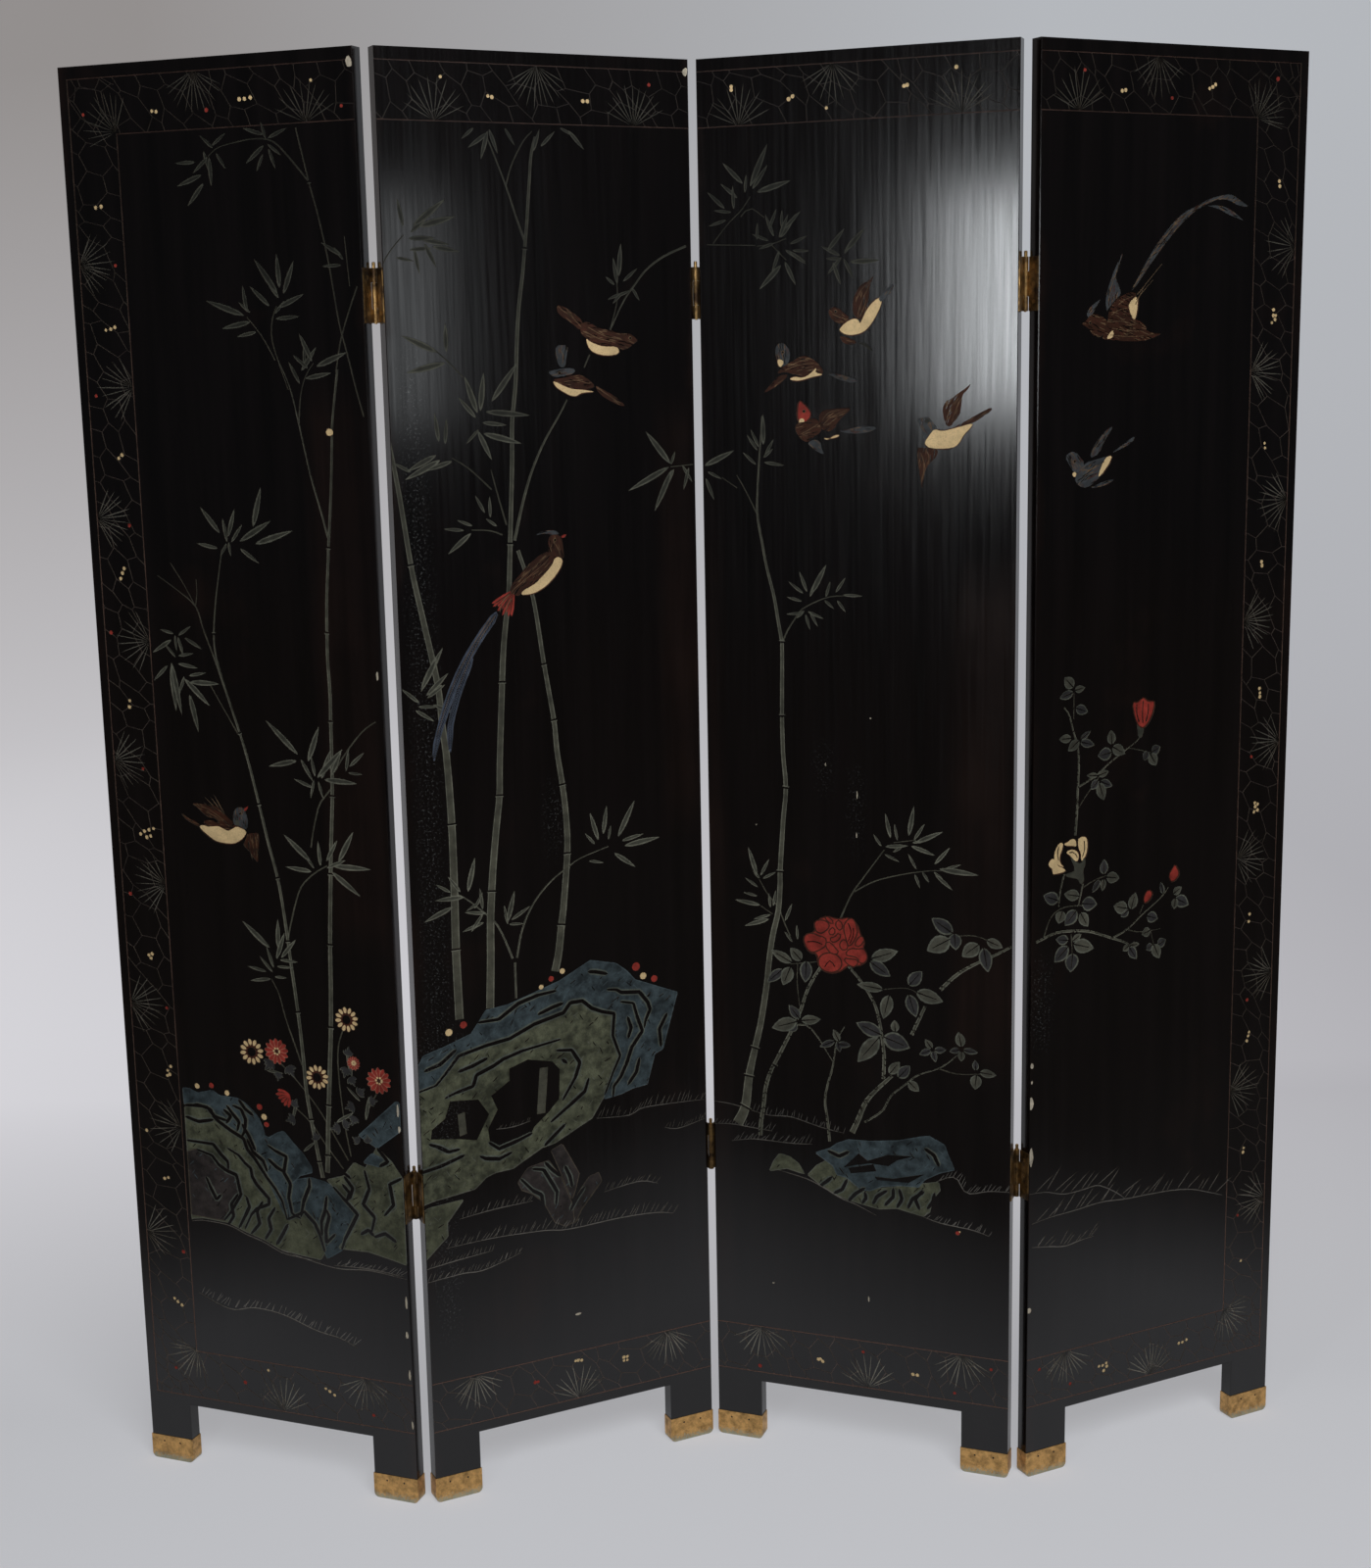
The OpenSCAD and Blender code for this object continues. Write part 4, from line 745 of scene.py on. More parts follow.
# Pale scuffs and chips down to the gesso: place, width and height
CHIPS = {
    1: (
        (401, 1812, 9, 14), (402, 1095, 4, 12), (402, 540, 4, 18), (403, 515, 4, 10), (402, 280, 4, 20),
        (401, 236, 5, 12), (402, 180, 4, 16), (403, 110, 4, 14),
    ),
    2: ((402, 1815, 8, 12), (209, 219, 10, 5)),
    3: (
        (161, 952, 2, 6), (203, 915, 2, 12), (202, 862, 2, 9), (66, 868, 2.5, 2.5), (221, 1015, 2.5, 2.5),
        (82, 232, 4, 3), (216, 227, 3, 10),
    ),
    4: ((2, 519, 9, 19), (3, 446, 7, 30), (3, 235, 8, 9), (3, 570, 5, 9), (3, 548, 4, 6)),
}

# Eyes: the place of each; the ring round the black pupil is drawn in the feather line's colour
EYES = {
    1: ((197, 913),),
    2: ((319, 1494), (209, 1249), (222, 1453)),
    3: ((178, 1521), (109, 1473), (136, 1400), (297, 1383)),
    4: ((76, 1501), (56, 1335)),
}

# Fine pale feather strokes: width at both ends, then the points
FEATHERS = {
    1: (
        (0.8, 0.5, 132, 920, 150, 916, 172, 903), (0.8, 0.5, 146, 912, 158, 908, 176, 899),
        (0.8, 0.5, 217, 884, 218, 870, 217, 856), (0.8, 0.5, 211, 880, 213, 870, 214, 860),
        (0.8, 0.5, 112, 907, 124, 899, 135, 895),
    ),
    2: (
        (0.8, 0.5, 262, 1508, 282, 1498, 308, 1492), (0.8, 0.5, 258, 1503, 276, 1494, 298, 1489),
        (0.8, 0.5, 226, 1530, 240, 1521, 253, 1508), (0.8, 0.5, 228, 1442, 244, 1444, 262, 1439),
        (0.8, 0.5, 272, 1434, 288, 1424, 304, 1414), (0.8, 0.5, 222, 1482, 228, 1474, 226, 1464),
        (0.8, 0.5, 153, 1192, 172, 1205, 196, 1222), (0.8, 0.5, 158, 1200, 176, 1214, 198, 1230),
        (0.9, 0.5, 120, 1158, 92, 1120, 66, 1075, 44, 1018), (0.9, 0.5, 126, 1160, 98, 1122, 74, 1074),
        (1.2, 0.8, 146, 1185, 136, 1176, 132, 1164), (1.2, 0.8, 149, 1180, 142, 1170, 140, 1160),
    ),
    3: (
        (0.8, 0.5, 204, 1532, 209, 1544, 218, 1553), (0.8, 0.5, 208, 1522, 213, 1536, 219, 1547),
        (0.8, 0.5, 209, 1514, 214, 1524, 217, 1534), (0.8, 0.5, 174, 1518, 186, 1513, 194, 1511),
        (0.8, 0.5, 112, 1451, 130, 1457, 150, 1459), (0.8, 0.5, 118, 1456, 134, 1463, 146, 1465),
        (0.8, 0.5, 161, 1383, 172, 1393, 192, 1401), (0.8, 0.5, 160, 1389, 168, 1398, 182, 1401),
        (0.8, 0.5, 132, 1372, 142, 1377, 154, 1384), (0.8, 0.5, 319, 1388, 322, 1400, 332, 1414),
        (0.8, 0.5, 325, 1386, 329, 1398, 335, 1410), (0.8, 0.5, 286, 1348, 290, 1336, 289, 1318),
        (0.8, 0.5, 294, 1350, 297, 1342, 294, 1334),
    ),
    4: (
        (0.8, 0.5, 106, 1486, 130, 1484, 158, 1484), (0.8, 0.5, 110, 1494, 130, 1491, 150, 1490),
        (0.8, 0.5, 112, 1502, 128, 1502, 140, 1498), (0.8, 0.5, 108, 1510, 120, 1516, 132, 1518),
        (0.8, 0.5, 118, 1522, 128, 1528, 140, 1532), (0.8, 0.5, 103, 1526, 108, 1546, 118, 1568),
        (0.9, 0.5, 140, 1542, 172, 1586, 212, 1626, 262, 1648, 296, 1648),
        (0.8, 0.5, 82, 1342, 92, 1358, 106, 1371), (0.8, 0.5, 66, 1324, 80, 1324, 96, 1330),
        (1.4, 0.7, 146, 1534, 164, 1552, 183, 1571), (1.4, 0.7, 145, 1528, 158, 1541, 170, 1552),
        (1.4, 0.7, 144, 1522, 150, 1533, 155, 1542),
    ),
}

# Cuts of black across petals
CUTS = {
    3: (
        (1.2, 0.8, 190, 744, 194, 733, 190, 720), (1.2, 0.8, 197, 738, 197, 728, 192, 717),
        (1.2, 0.8, 134, 715, 145, 716, 155, 713), (1.2, 0.8, 158, 683, 165, 692, 172, 684),
    ),
    4: (
        (1.2, 0.8, 40, 853, 38, 845, 40, 836), (1.2, 0.8, 56, 844, 64, 843, 69, 836),
        (1.2, 0.8, 79, 856, 80, 846, 77, 836), (1.3, 0.8, 162, 1002, 158, 1014, 158, 1025),
        (1.3, 0.8, 168, 1000, 167, 1014, 168, 1029), (1.3, 0.8, 173, 1002, 176, 1014, 176, 1024),
    ),
}

# Widths and spacings of what is drawn, in millimetres
NEEDLE_WIDTHS = (1.2, 1.7)
PETAL_SIZES = (4.2, 5.6)
BERRY_SIZES = (4.5, 6.0)
ROCK_RIM = 2.6
RIDGE_RIM, RIDGE = 8.8, 4.8
GROUND_LINE = 1.7
CANE_EDGE = 1.3
RING, RING_LIGHT, RING_OVERHANG, RING_LIFT = 1.9, 1.4, 1.4, 1.8
BARK_SPACING, BARB_SPACING = 6, 3
HALO, PETAL_LINE = 2.4, 1.9
EYE_RING, PUPIL = 4.4, 2.8

# How many square millimetres of a rock and of a bird go with one stroke
HATCH_AREA, FEATHER_AREA = 260, 20

# How wide a sprig opens to either side, in degrees, and what its outer needles lose of their length
SPRIG_SPREAD, SPRIG_SHORTENING = 64, 0.12

# How far the lattice's corners are shaken, as a share of their distance
LATTICE_SHAKE = 0.52

# Soft ends of the rubbed and scuffed bands, across and up, in millimetres
SOFT_ACROSS, SOFT_UP = 12, 30

# Lamps: the setting of the power, width and height, where the lamp hangs and where it points, in metres
LAMPS = {
    "key lamp": ("key_power", (2.4, 1.6), (0.6, -3.3, 3.3), (0.0, 0.0, 0.95)),
    "left lamp": ("side_power", (0.34, 0.5), (-1.09, -2.11, 1.58), (0.2, 0.0, 1.5)),
    "left lamp core": ("core_power", (0.2, 0.42), (-1.0, -2.1, 1.59), (0.2, 0.0, 1.5)),
    "right lamp": ("right_power", (0.18, 0.5), (1.23, -1.8, 1.58), (-0.35, 0.0, 1.5)),
}
LAMP_COLOUR = (0.93, 0.97, 1.0)
ROOM_COLOUR, ROOM_STRENGTH = (0.9, 0.95, 1.0, 1.0), 0.05
DISTANCE_COLOUR = (0.36, 0.36, 0.375, 1.0)

# The backdrop, in metres: half its width, its front end, where it bends, the bend's radius and its top
PAPER_HALF, PAPER_FRONT, PAPER_BEND, BEND_RADIUS, PAPER_TOP = 12.0, -7.0, 6.0, 1.5, 9.0
SENSOR_WIDTH = 36


# ---- Settings ----


def srgb(red, green, blue):
    """A linear colour from the usual 0 to 255 values."""
    shares = [value / 255 for value in (red, green, blue)]
    return tuple(s / 12.92 if s <= 0.04045 else ((s + 0.055) / 1.055) ** 2.4 for s in shares)


def colour(name, description, *levels):
    """A colour setting."""
    return FloatVectorProperty(name=name, description=description, default=srgb(*levels),
                               subtype="COLOR", size=3, min=0, max=1)


def length(name, description, millimetres):
    """A length setting, in metres."""
    return FloatProperty(name=name, description=description, default=millimetres * MM, min=0,
                         subtype="DISTANCE", unit="LENGTH", precision=5)


def power(name, description, watts):
    """A lamp's power setting."""
    return FloatProperty(name=name, description=description + ", in watts", default=watts, min=0)


class ScreenSizes(bpy.types.PropertyGroup):
    """Sizes of the panels and of the carving on them."""

    panel_width: length("Panel width", "From edge to edge of one panel", 406)
    leg_width: length("Leg width", "Width of a leg", 63)
    leg_height: length("Leg height", "From the floor to the lower edge of the apron", 85)
    coat: length("Coat", "Thickness of gesso and lacquer on a face", 1.5)
    shoe_sheet: length("Shoe sheet", "Thickness of the brass under a foot", 0.8)
    foot_radius: length("Foot radius", "Rounding of the foot's corners inside the shoe", 6.2)
    worn_edge: length("Worn edge", "Bevel that wear has left round the lacquer", 0.8)
    carving_depth: length("Carving depth", "How far the picture is cut into the lacquer", 0.7)
    outer_border: length("Outer border", "From the panel's outer edge to the outer border line", 13)
    inner_border: length("Inner border", "From the panel's outer edge to the inner border line", 79.5)
    top_outer: length("Top outer line", "Height of the upper border's outer line", 1815)
    top_inner: length("Top inner line", "Height of the upper border's inner line", 1748)
    bottom_inner: length("Bottom inner line", "Height of the lower border's inner line", 166)
    bottom_outer: length("Bottom outer line", "Height of the lower border's outer line", 99)
    border_line: length("Border line", "Width of a border line", 1.5)
    lattice_line: length("Lattice line", "Width of the cracked-ice lines in the border", 1.2)
    lattice_cell: length("Lattice cell", "Distance between the corners that the lattice grows round", 31)
    needle_length: length("Needle length", "Length of the longest pine needle", 54)
    fold: FloatProperty(name="Fold", description="Turn of each panel out of the screen's line",
                        default=math.radians(23.5), subtype="ANGLE", unit="ROTATION")


class ScreenColours(bpy.types.PropertyGroup):
    """Colours of the lacquer, the paints, the metals and the wood."""

    lacquer: colour("Lacquer", "Black lacquer", 9, 6, 6)
    scuff: colour("Scuff", "Pale grey specks where the lacquer is scuffed", 96, 97, 96)
    rubbed: colour("Rubbed lacquer", "Brown where the lacquer is rubbed thin", 46, 26, 18)
    rim: colour("Carved rim", "Cut edge of the gesso", 74, 66, 56)
    halo: colour("Halo", "Red-brown stain round pale and red paint", 66, 32, 22)
    blush: colour("Blush", "Pale edges of red petals", 168, 104, 86)
    border: colour("Border line", "Brown-grey lines round the picture", 84, 62, 54)
    lattice: colour("Lattice", "Cracked-ice lines in the border", 62, 53, 49)
    needles: colour("Pine needles", "Grey-green needles in the border", 96, 92, 83)
    grass: colour("Grass", "Pale grey ground lines and grass", 90, 86, 81)
    bamboo: colour("Bamboo", "Olive grey canes and twigs", 72, 70, 59)
    cane_edge: colour("Cane edge", "Pale edges of canes and bamboo leaves", 106, 105, 92)
    leaf: colour("Leaf", "Bamboo leaves", 64, 63, 54)
    rose_pale: colour("Rose leaf edge", "Pale edges of the rose leaves and of the green rocks", 94, 95, 84)
    rose_dark: colour("Dark rose leaf", "Leaves in shade", 52, 50, 50)
    rose_mid: colour("Rose leaf", "Faces of the lighter rose leaves", 76, 74, 64)
    tail: colour("Tail", "Blue-grey tail feathers", 62, 68, 80)
    rock_blue: colour("Blue rock", "Slate-blue facets", 55, 64, 67)
    rock_edge: colour("Rock edge", "Pale edges along the ridges of the rocks", 84, 88, 80)
    rock_green: colour("Green rock", "Grey-green facets", 78, 79, 62)
    shade: colour("Shaded rock", "Brown-lavender facets", 48, 42, 40)
    cream: colour("Cream", "Petals and breasts of the birds", 216, 186, 138)
    coral: colour("Coral red", "Red petals and berries", 144, 50, 41)
    brown_plumage: colour("Brown plumage", "Brown feathers", 52, 27, 15)
    grey_plumage: colour("Grey plumage", "Blue-grey feathers", 58, 60, 62)
    gesso: colour("Gesso", "Bare ground where the lacquer has chipped", 190, 178, 158)
    feather_line: colour("Feather line", "Pale strokes in the plumage", 100, 78, 56)
    brass: colour("Brass", "Rubbed brass of the hinges", 176, 140, 88)
    shoe: colour("Shoe brass", "Golden brass of the shoes", 220, 172, 106)
    tarnish: colour("Tarnish", "Brown skin on old brass", 62, 46, 32)
    verdigris: colour("Verdigris", "Pale green crust along the shoes", 150, 158, 142)
    iron: colour("Iron", "Dark nail heads", 40, 34, 30)
    pine: colour("Pine", "Core boards inside the panels", 188, 150, 104)


class StudioSettings(bpy.types.PropertyGroup):
    """Camera, lamps and backdrop."""

    focal_length: FloatProperty(name="Focal length", description="Lens of the camera, in millimetres",
                                default=57.995, min=1)
    camera_place: FloatVectorProperty(name="Camera place", description="Where the camera stands",
                                      default=(-0.16055, -2.76935, 1.47139), size=3,
                                      subtype="TRANSLATION", unit="LENGTH")
    camera_turn: FloatVectorProperty(name="Camera turn", description="The camera's turn about X, Y and Z",
                                     default=[math.radians(a) for a in (79.019, 1.094, -2.944)],
                                     size=3, subtype="EULER", unit="ROTATION")
    key_power: power("Key power", "Large soft lamp above", 110)
    side_power: power("Side power", "Soft lamp on the left", 5)
    core_power: power("Core power", "Bright middle of the left lamp", 2.4)
    right_power: power("Right power", "Weak lamp on the right", 0.6)
    # Backdrop paper colours, which carry painted light and shade: the far paper is a painted shade that the
    # lacquer mirrors, and the low and top colours paint a fall-off of light up the backdrop.
    far_paper_shade: colour("Far paper", "Backdrop paper as the lacquer mirrors it from far off", 90, 84, 80)
    floor_paper: colour("Floor paper", "Backdrop paper on the floor in front", 220, 220, 224)
    low_left_paper: colour("Low left paper", "Backdrop paper low down on the left", 222, 221, 226)
    top_left_paper: colour("Top left paper", "Backdrop paper high up on the left", 150, 146, 145)
    low_right_paper: colour("Low right paper", "Backdrop paper low down on the right", 178, 177, 182)
    top_right_paper: colour("Top right paper", "Backdrop paper high up on the right", 184, 187, 192)


def in_mm(name):
    """One of the sizes, in millimetres."""
    return getattr(bpy.context.scene.screen_sizes, name) / MM


# ---- Short hands for node trees ----


def connect(tree, node, inputs):
    """Links or sets a node's inputs."""
    for key, value in inputs.items():
        if isinstance(value, bpy.types.Node):
            value = value.outputs[0]
        if isinstance(value, bpy.types.NodeSocket):
            tree.links.new(value, node.inputs[key])
        else:
            node.inputs[key].default_value = value
    return node


def lay(tree, kind, inputs=None, **options):
    """Adds a node, sets its options, then links or sets its inputs."""
    node = tree.nodes.new(kind)
    for name, value in options.items():
        setattr(node, name, value)
    return connect(tree, node, inputs or {})


def calc(tree, operation, first, second=0.0):
    """A sum on one or two numbers."""
    return lay(tree, "ShaderNodeMath", {0: first, 1: second}, operation=operation)


def times(tree, first, second):
    """The product of two numbers."""
    return calc(tree, "MULTIPLY", first, second)


def spread(tree, value, low, high, to_low=0.0, to_high=1.0):
    """Maps low..high to a new range and stops at its ends."""
    return lay(tree, "ShaderNodeMapRange", {0: value, 1: low, 2: high, 3: to_low, 4: to_high})


def parts(tree, vector):
    """The three numbers of a vector."""
    return lay(tree, "ShaderNodeSeparateXYZ", {0: vector}).outputs


def noise(tree, vector, scale, detail=3.0, roughness=0.55):
    """Cloudy noise from 0 to 1."""
    return lay(tree, "ShaderNodeTexNoise",
               {"Vector": vector, "Scale": scale, "Detail": detail, "Roughness": roughness})


def stretched(tree, vector, scale, offset=(0, 0, 0)):
    """Coordinates pulled along their axes, for grain and streaks."""
    return lay(tree, "ShaderNodeMapping", {"Vector": vector, "Scale": scale, "Location": offset})


def mixed(tree, factor, first, second):
    """One colour over another."""
    return lay(tree, "ShaderNodeMix", {0: factor, 6: first, 7: second}, data_type="RGBA").outputs[2]


def solid(levels, factor=1.0):
    """A colour setting, made lighter or darker, as the four numbers that a socket takes."""
    return (*toned(levels, factor), 1.0)


def toned(levels, factor):
    """A lighter or darker version of a colour setting."""
    return tuple(min(1.0, level * factor) for level in levels)


def new_material(name):
    """An empty material with its shader."""
    material = bpy.data.materials.new(name)
    material.use_nodes = True
    tree = material.node_tree
    return material, tree, tree.nodes["Principled BSDF"]


def bump(tree, height, distance):
    """A height pattern that tilts the shading."""
    return lay(tree, "ShaderNodeBump", {"Height": height, "Distance": distance})


# ---- Geometry node trees ----


def geometry_tree(name, sockets):
    """A node group that takes and gives geometry, with named inputs."""
    tree = bpy.data.node_groups.new(name, "GeometryNodeTree")
    tree.interface.new_socket("Geometry", in_out="INPUT", socket_type="NodeSocketGeometry")
    for label, kind, default in sockets:
        socket = tree.interface.new_socket(label, in_out="INPUT", socket_type="NodeSocket" + kind)
        socket.default_value = default
    tree.interface.new_socket("Material", in_out="INPUT", socket_type="NodeSocketMaterial")
    tree.interface.new_socket("Geometry", in_out="OUTPUT", socket_type="NodeSocketGeometry")
    return tree, tree.nodes.new("NodeGroupInput")


def close_tree(tree, geometry, given):
    """Ends a tree in Realize Instances and Set Material."""
    real = lay(tree, "GeometryNodeRealizeInstances", {0: geometry})
    dressed = lay(tree, "GeometryNodeSetMaterial",
                  {"Geometry": real, "Material": given.outputs["Material"]})
    lay(tree, "NodeGroupOutput", {0: dressed})
    return tree


def attribute(tree, name):
    """A number that each point carries."""
    return lay(tree, "GeometryNodeInputNamedAttribute", {"Name": name}, data_type="FLOAT").outputs[0]


def stroke_tree():
    """Lays one flat stroke on every point, by the angle, length and width that the point carries."""
    tree, given = geometry_tree("Painted strokes", (
        ("Sides", "Int", 12), ("Pointed", "Float", 1.0), ("Belly", "Float", 1.0)))
    circle = lay(tree, "GeometryNodeMeshCircle", {"Vertices": given.outputs["Sides"]}, fill_type="NGON")
    x, y, _ = parts(tree, lay(tree, "GeometryNodeInputPosition"))
    share = times(tree, calc(tree, "SUBTRACT", 1.0, x), 0.5)
    along = calc(tree, "POWER", share, given.outputs["Belly"])
    pinch = calc(tree, "POWER", calc(tree, "ABSOLUTE", y), given.outputs["Pointed"])
    across = times(tree, times(tree, y, pinch), 0.5)
    outline = lay(tree, "ShaderNodeCombineXYZ", {0: along, 1: across})
    stroke = lay(tree, "GeometryNodeSetPosition", {"Geometry": circle, "Position": outline})
    turn = lay(tree, "ShaderNodeCombineXYZ", {2: attribute(tree, "angle")})
    size = lay(tree, "ShaderNodeCombineXYZ",
               {0: attribute(tree, "length"), 1: attribute(tree, "width"), 2: 1.0})
    laid = lay(tree, "GeometryNodeInstanceOnPoints",
               {"Points": given.outputs["Geometry"], "Instance": stroke, "Rotation": turn, "Scale": size})
    return close_tree(tree, laid, given)


def flat_ribbons(tree, curves, width):
    """Gives flat curves a width."""
    upright = lay(tree, "GeometryNodeSetCurveNormal", {"Curve": curves}, mode="Z_UP")
    nib = lay(tree, "GeometryNodeCurvePrimitiveLine", {0: (-0.5, 0, 0), 1: (0.5, 0, 0)})
    return lay(tree, "GeometryNodeCurveToMesh", {"Curve": upright, "Profile Curve": nib, "Scale": width})


def ribbon_tree():
    """Turns chains of points into smooth flat ribbons, by the width that each point carries."""
    tree, given = geometry_tree("Painted ribbons", (("Step", "Float", 8.0),))
    chains = lay(tree, "GeometryNodeMeshToCurve", {0: given.outputs["Geometry"]})
    smooth = lay(tree, "GeometryNodeCurveSplineType", {0: chains}, spline_type="CATMULL_ROM")
    even = lay(tree, "GeometryNodeResampleCurve", {"Curve": smooth, "Length": given.outputs["Step"]},
               mode="LENGTH")
    return close_tree(tree, flat_ribbons(tree, even, attribute(tree, "width")), given)


def lattice_tree():
    """Cracked-ice lines: the dual of a shaken grid, as narrow ribbons."""
    tree, given = geometry_tree("Cracked ice", (
        ("Width", "Float", 400.0), ("Height", "Float", 60.0), ("Columns", "Int", 20), ("Rows", "Int", 4),
        ("Shake", "Float", 6.0), ("Line", "Float", 1.0), ("Seed", "Int", 1)))
    grid = lay(tree, "GeometryNodeMeshGrid", {
        "Size X": given.outputs["Width"], "Size Y": given.outputs["Height"],
        "Vertices X": given.outputs["Columns"], "Vertices Y": given.outputs["Rows"]})
    triangles = lay(tree, "GeometryNodeTriangulate", {0: grid})
    way = lay(tree, "FunctionNodeRandomValue",
              {0: (-1, -1, 0), 1: (1, 1, 0), "Seed": given.outputs["Seed"]}, data_type="FLOAT_VECTOR")
    shake = lay(tree, "ShaderNodeVectorMath", {0: way, "Scale": given.outputs["Shake"]}, operation="SCALE")
    shaken = lay(tree, "GeometryNodeSetPosition", {"Geometry": triangles, "Offset": shake})
    cells = lay(tree, "GeometryNodeDualMesh", {0: shaken})
    lines = lay(tree, "GeometryNodeMeshToCurve", {0: cells})
    return close_tree(tree, flat_ribbons(tree, lines, given.outputs["Line"]), given)


def marks(chains, **values):
    """A mesh of points in chains, with a list of numbers for each name in values."""
    mesh = bpy.data.meshes.new("marks")
    points = [(x, z, 0) for chain in chains for x, z in chain]
    edges = []
    first = 0
    for chain in chains:
        edges += [(first + i, first + i + 1) for i in range(len(chain) - 1)]
        first += len(chain)
    mesh.from_pydata(points, edges, [])
    for name, numbers in values.items():
        mesh.attributes.new(name, "FLOAT", "POINT").data.foreach_set("value", numbers)
    return mesh


def grown(tree, mesh, **inputs):
    """The flat outlines that a tree makes from a mesh."""
    piece = bpy.data.objects.new(tree.name, mesh)
    bpy.context.scene.collection.objects.link(piece)
    modifier = piece.modifiers.new("Grow", "NODES")
    modifier.node_group = tree
    for item in tree.interface.items_tree:
        if item.in_out == "INPUT" and item.name in inputs:
            modifier[item.identifier] = inputs[item.name]
    evaluated = piece.evaluated_get(bpy.context.evaluated_depsgraph_get())
    result = bpy.data.meshes.new_from_object(evaluated)
    outlines = [[tuple(result.vertices[i].co[:2]) for i in face.vertices] for face in result.polygons]
    bpy.data.objects.remove(piece)
    bpy.data.meshes.remove(mesh)
    bpy.data.meshes.remove(result)
    return outlines


# ---- Where the panels stand ----


def panel_turn(number):
    """The way a panel is turned about the upright axis."""
    fold = bpy.context.scene.screen_sizes.fold
    return -fold if number % 2 else fold


def panel_corner(number):
    """The floor corner at the left of a panel's front face, in metres, from its lacquer's box."""
    sizes = bpy.context.scene.screen_sizes
    low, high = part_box("panel_%d_front_lacquer" % number)
    if number % 2:
        return low.x, high.y - sizes.coat * math.cos(sizes.fold), 0
    return low.x + sizes.coat * math.sin(sizes.fold), low.y, 0


def panel_to_frame(number):
    """The matrix that sets a panel, made at the origin in metres, in its place in the screen."""
    return Matrix.Translation(panel_corner(number)) @ Matrix.Rotation(panel_turn(number), 4, "Z")


# ---- Materials ----


def carved_place(tree):
    """Place on a carved front, in metres from the panel's lower left corner."""
    place = lay(tree, "ShaderNodeAttribute", attribute_name="place", attribute_type="GEOMETRY")
    return place.outputs["Vector"]


def object_place(tree):
    """Place in the screen's own frame."""
    return lay(tree, "ShaderNodeTexCoord").outputs["Object"]


def panel_place(tree, number):
    """Place on a part of the core, in metres from the panel's lower left corner."""
    return lay(tree, "ShaderNodeMapping", {
        "Vector": object_place(tree), "Location": panel_corner(number),
        "Rotation": (0, 0, panel_turn(number))}, vector_type="TEXTURE").outputs[0]


def band(tree, value, low, high, soft):
    """1 from a low to a high end in millimetres, fading to 0 over the soft ends."""
    begun = spread(tree, value, (low - soft) * MM, (low + soft) * MM)
    left = spread(tree, value, (high - soft) * MM, (high + soft) * MM, 1.0, 0.0)
    return times(tree, begun, left)


def banded(tree, seat, bands):
    """How far each place lies within any of the bands, which are given in millimetres."""
    x, _, z = parts(tree, seat)
    total = 0.0
    for left, right, lowest, highest in bands:
        here = times(tree, band(tree, x, left, right, SOFT_ACROSS), band(tree, z, lowest, highest, SOFT_UP))
        total = calc(tree, "MAXIMUM", here, total)
    return total


def lacquer_material(number, carved):
    """Black lacquer, brushed upright, rubbed brown in places and at the edges."""
    colours = bpy.context.scene.screen_colours
    material, tree, shader = new_material("%s lacquer %d" % ("front" if carved else "back", number))
    seat = carved_place(tree) if carved else panel_place(tree, number)
    pattern = number if carved else number + len(PANELS)
    own = stretched(tree, seat, (1, 1, 1), (pattern * 3.7, 0, pattern * 1.9))
    streaks = noise(tree, stretched(tree, own, (210, 210, 5)), 1.0, 4.0)
    brushing = noise(tree, stretched(tree, own, (38, 38, 2.2)), 1.0)
    clouds = noise(tree, own, 5.0, 4.0, 0.6)
    x = parts(tree, seat)[0]
    edge = calc(tree, "MINIMUM", x, calc(tree, "SUBTRACT", in_mm("panel_width") * MM, x))
    near_edge = spread(tree, edge, 0.0, 0.02, 1.0, 0.0)
    rubbed = spread(tree, calc(tree, "ADD", clouds, times(tree, near_edge, 0.18)), 0.6, 0.85)
    bands = banded(tree, seat, RUBBED_BANDS.get(number, ()) if carved else ())
    rubbed = calc(tree, "MAXIMUM", rubbed, times(tree, bands, spread(tree, clouds, 0.3, 0.65, 0.1, 0.8)))
    rubbed = times(tree, rubbed, spread(tree, brushing, 0.3, 0.7, 0.35, 1.0))
    scuffed = times(tree, banded(tree, seat, SCUFFED_BANDS.get(number, ()) if carved else ()),
                    spread(tree, noise(tree, seat, 300.0, 3.0, 0.8), 0.57, 0.68, 0.0, 0.8))
    black = mixed(tree, spread(tree, brushing, 0.35, 0.7), solid(colours.lacquer, 0.7),
                  solid(colours.lacquer, 1.5))
    worn = mixed(tree, times(tree, rubbed, 0.4), black, solid(colours.rubbed))
    ripple = calc(tree, "ADD", brushing, times(tree, streaks, 0.15))
    connect(tree, shader, {
        "Base Color": mixed(tree, scuffed, worn, solid(colours.scuff)),
        "Roughness": calc(tree, "ADD", spread(tree, streaks, 0.3, 0.75, 0.1, 0.2),
                          times(tree, rubbed, 0.12)),
        "Normal": bump(tree, ripple, 0.00012)})
    return material


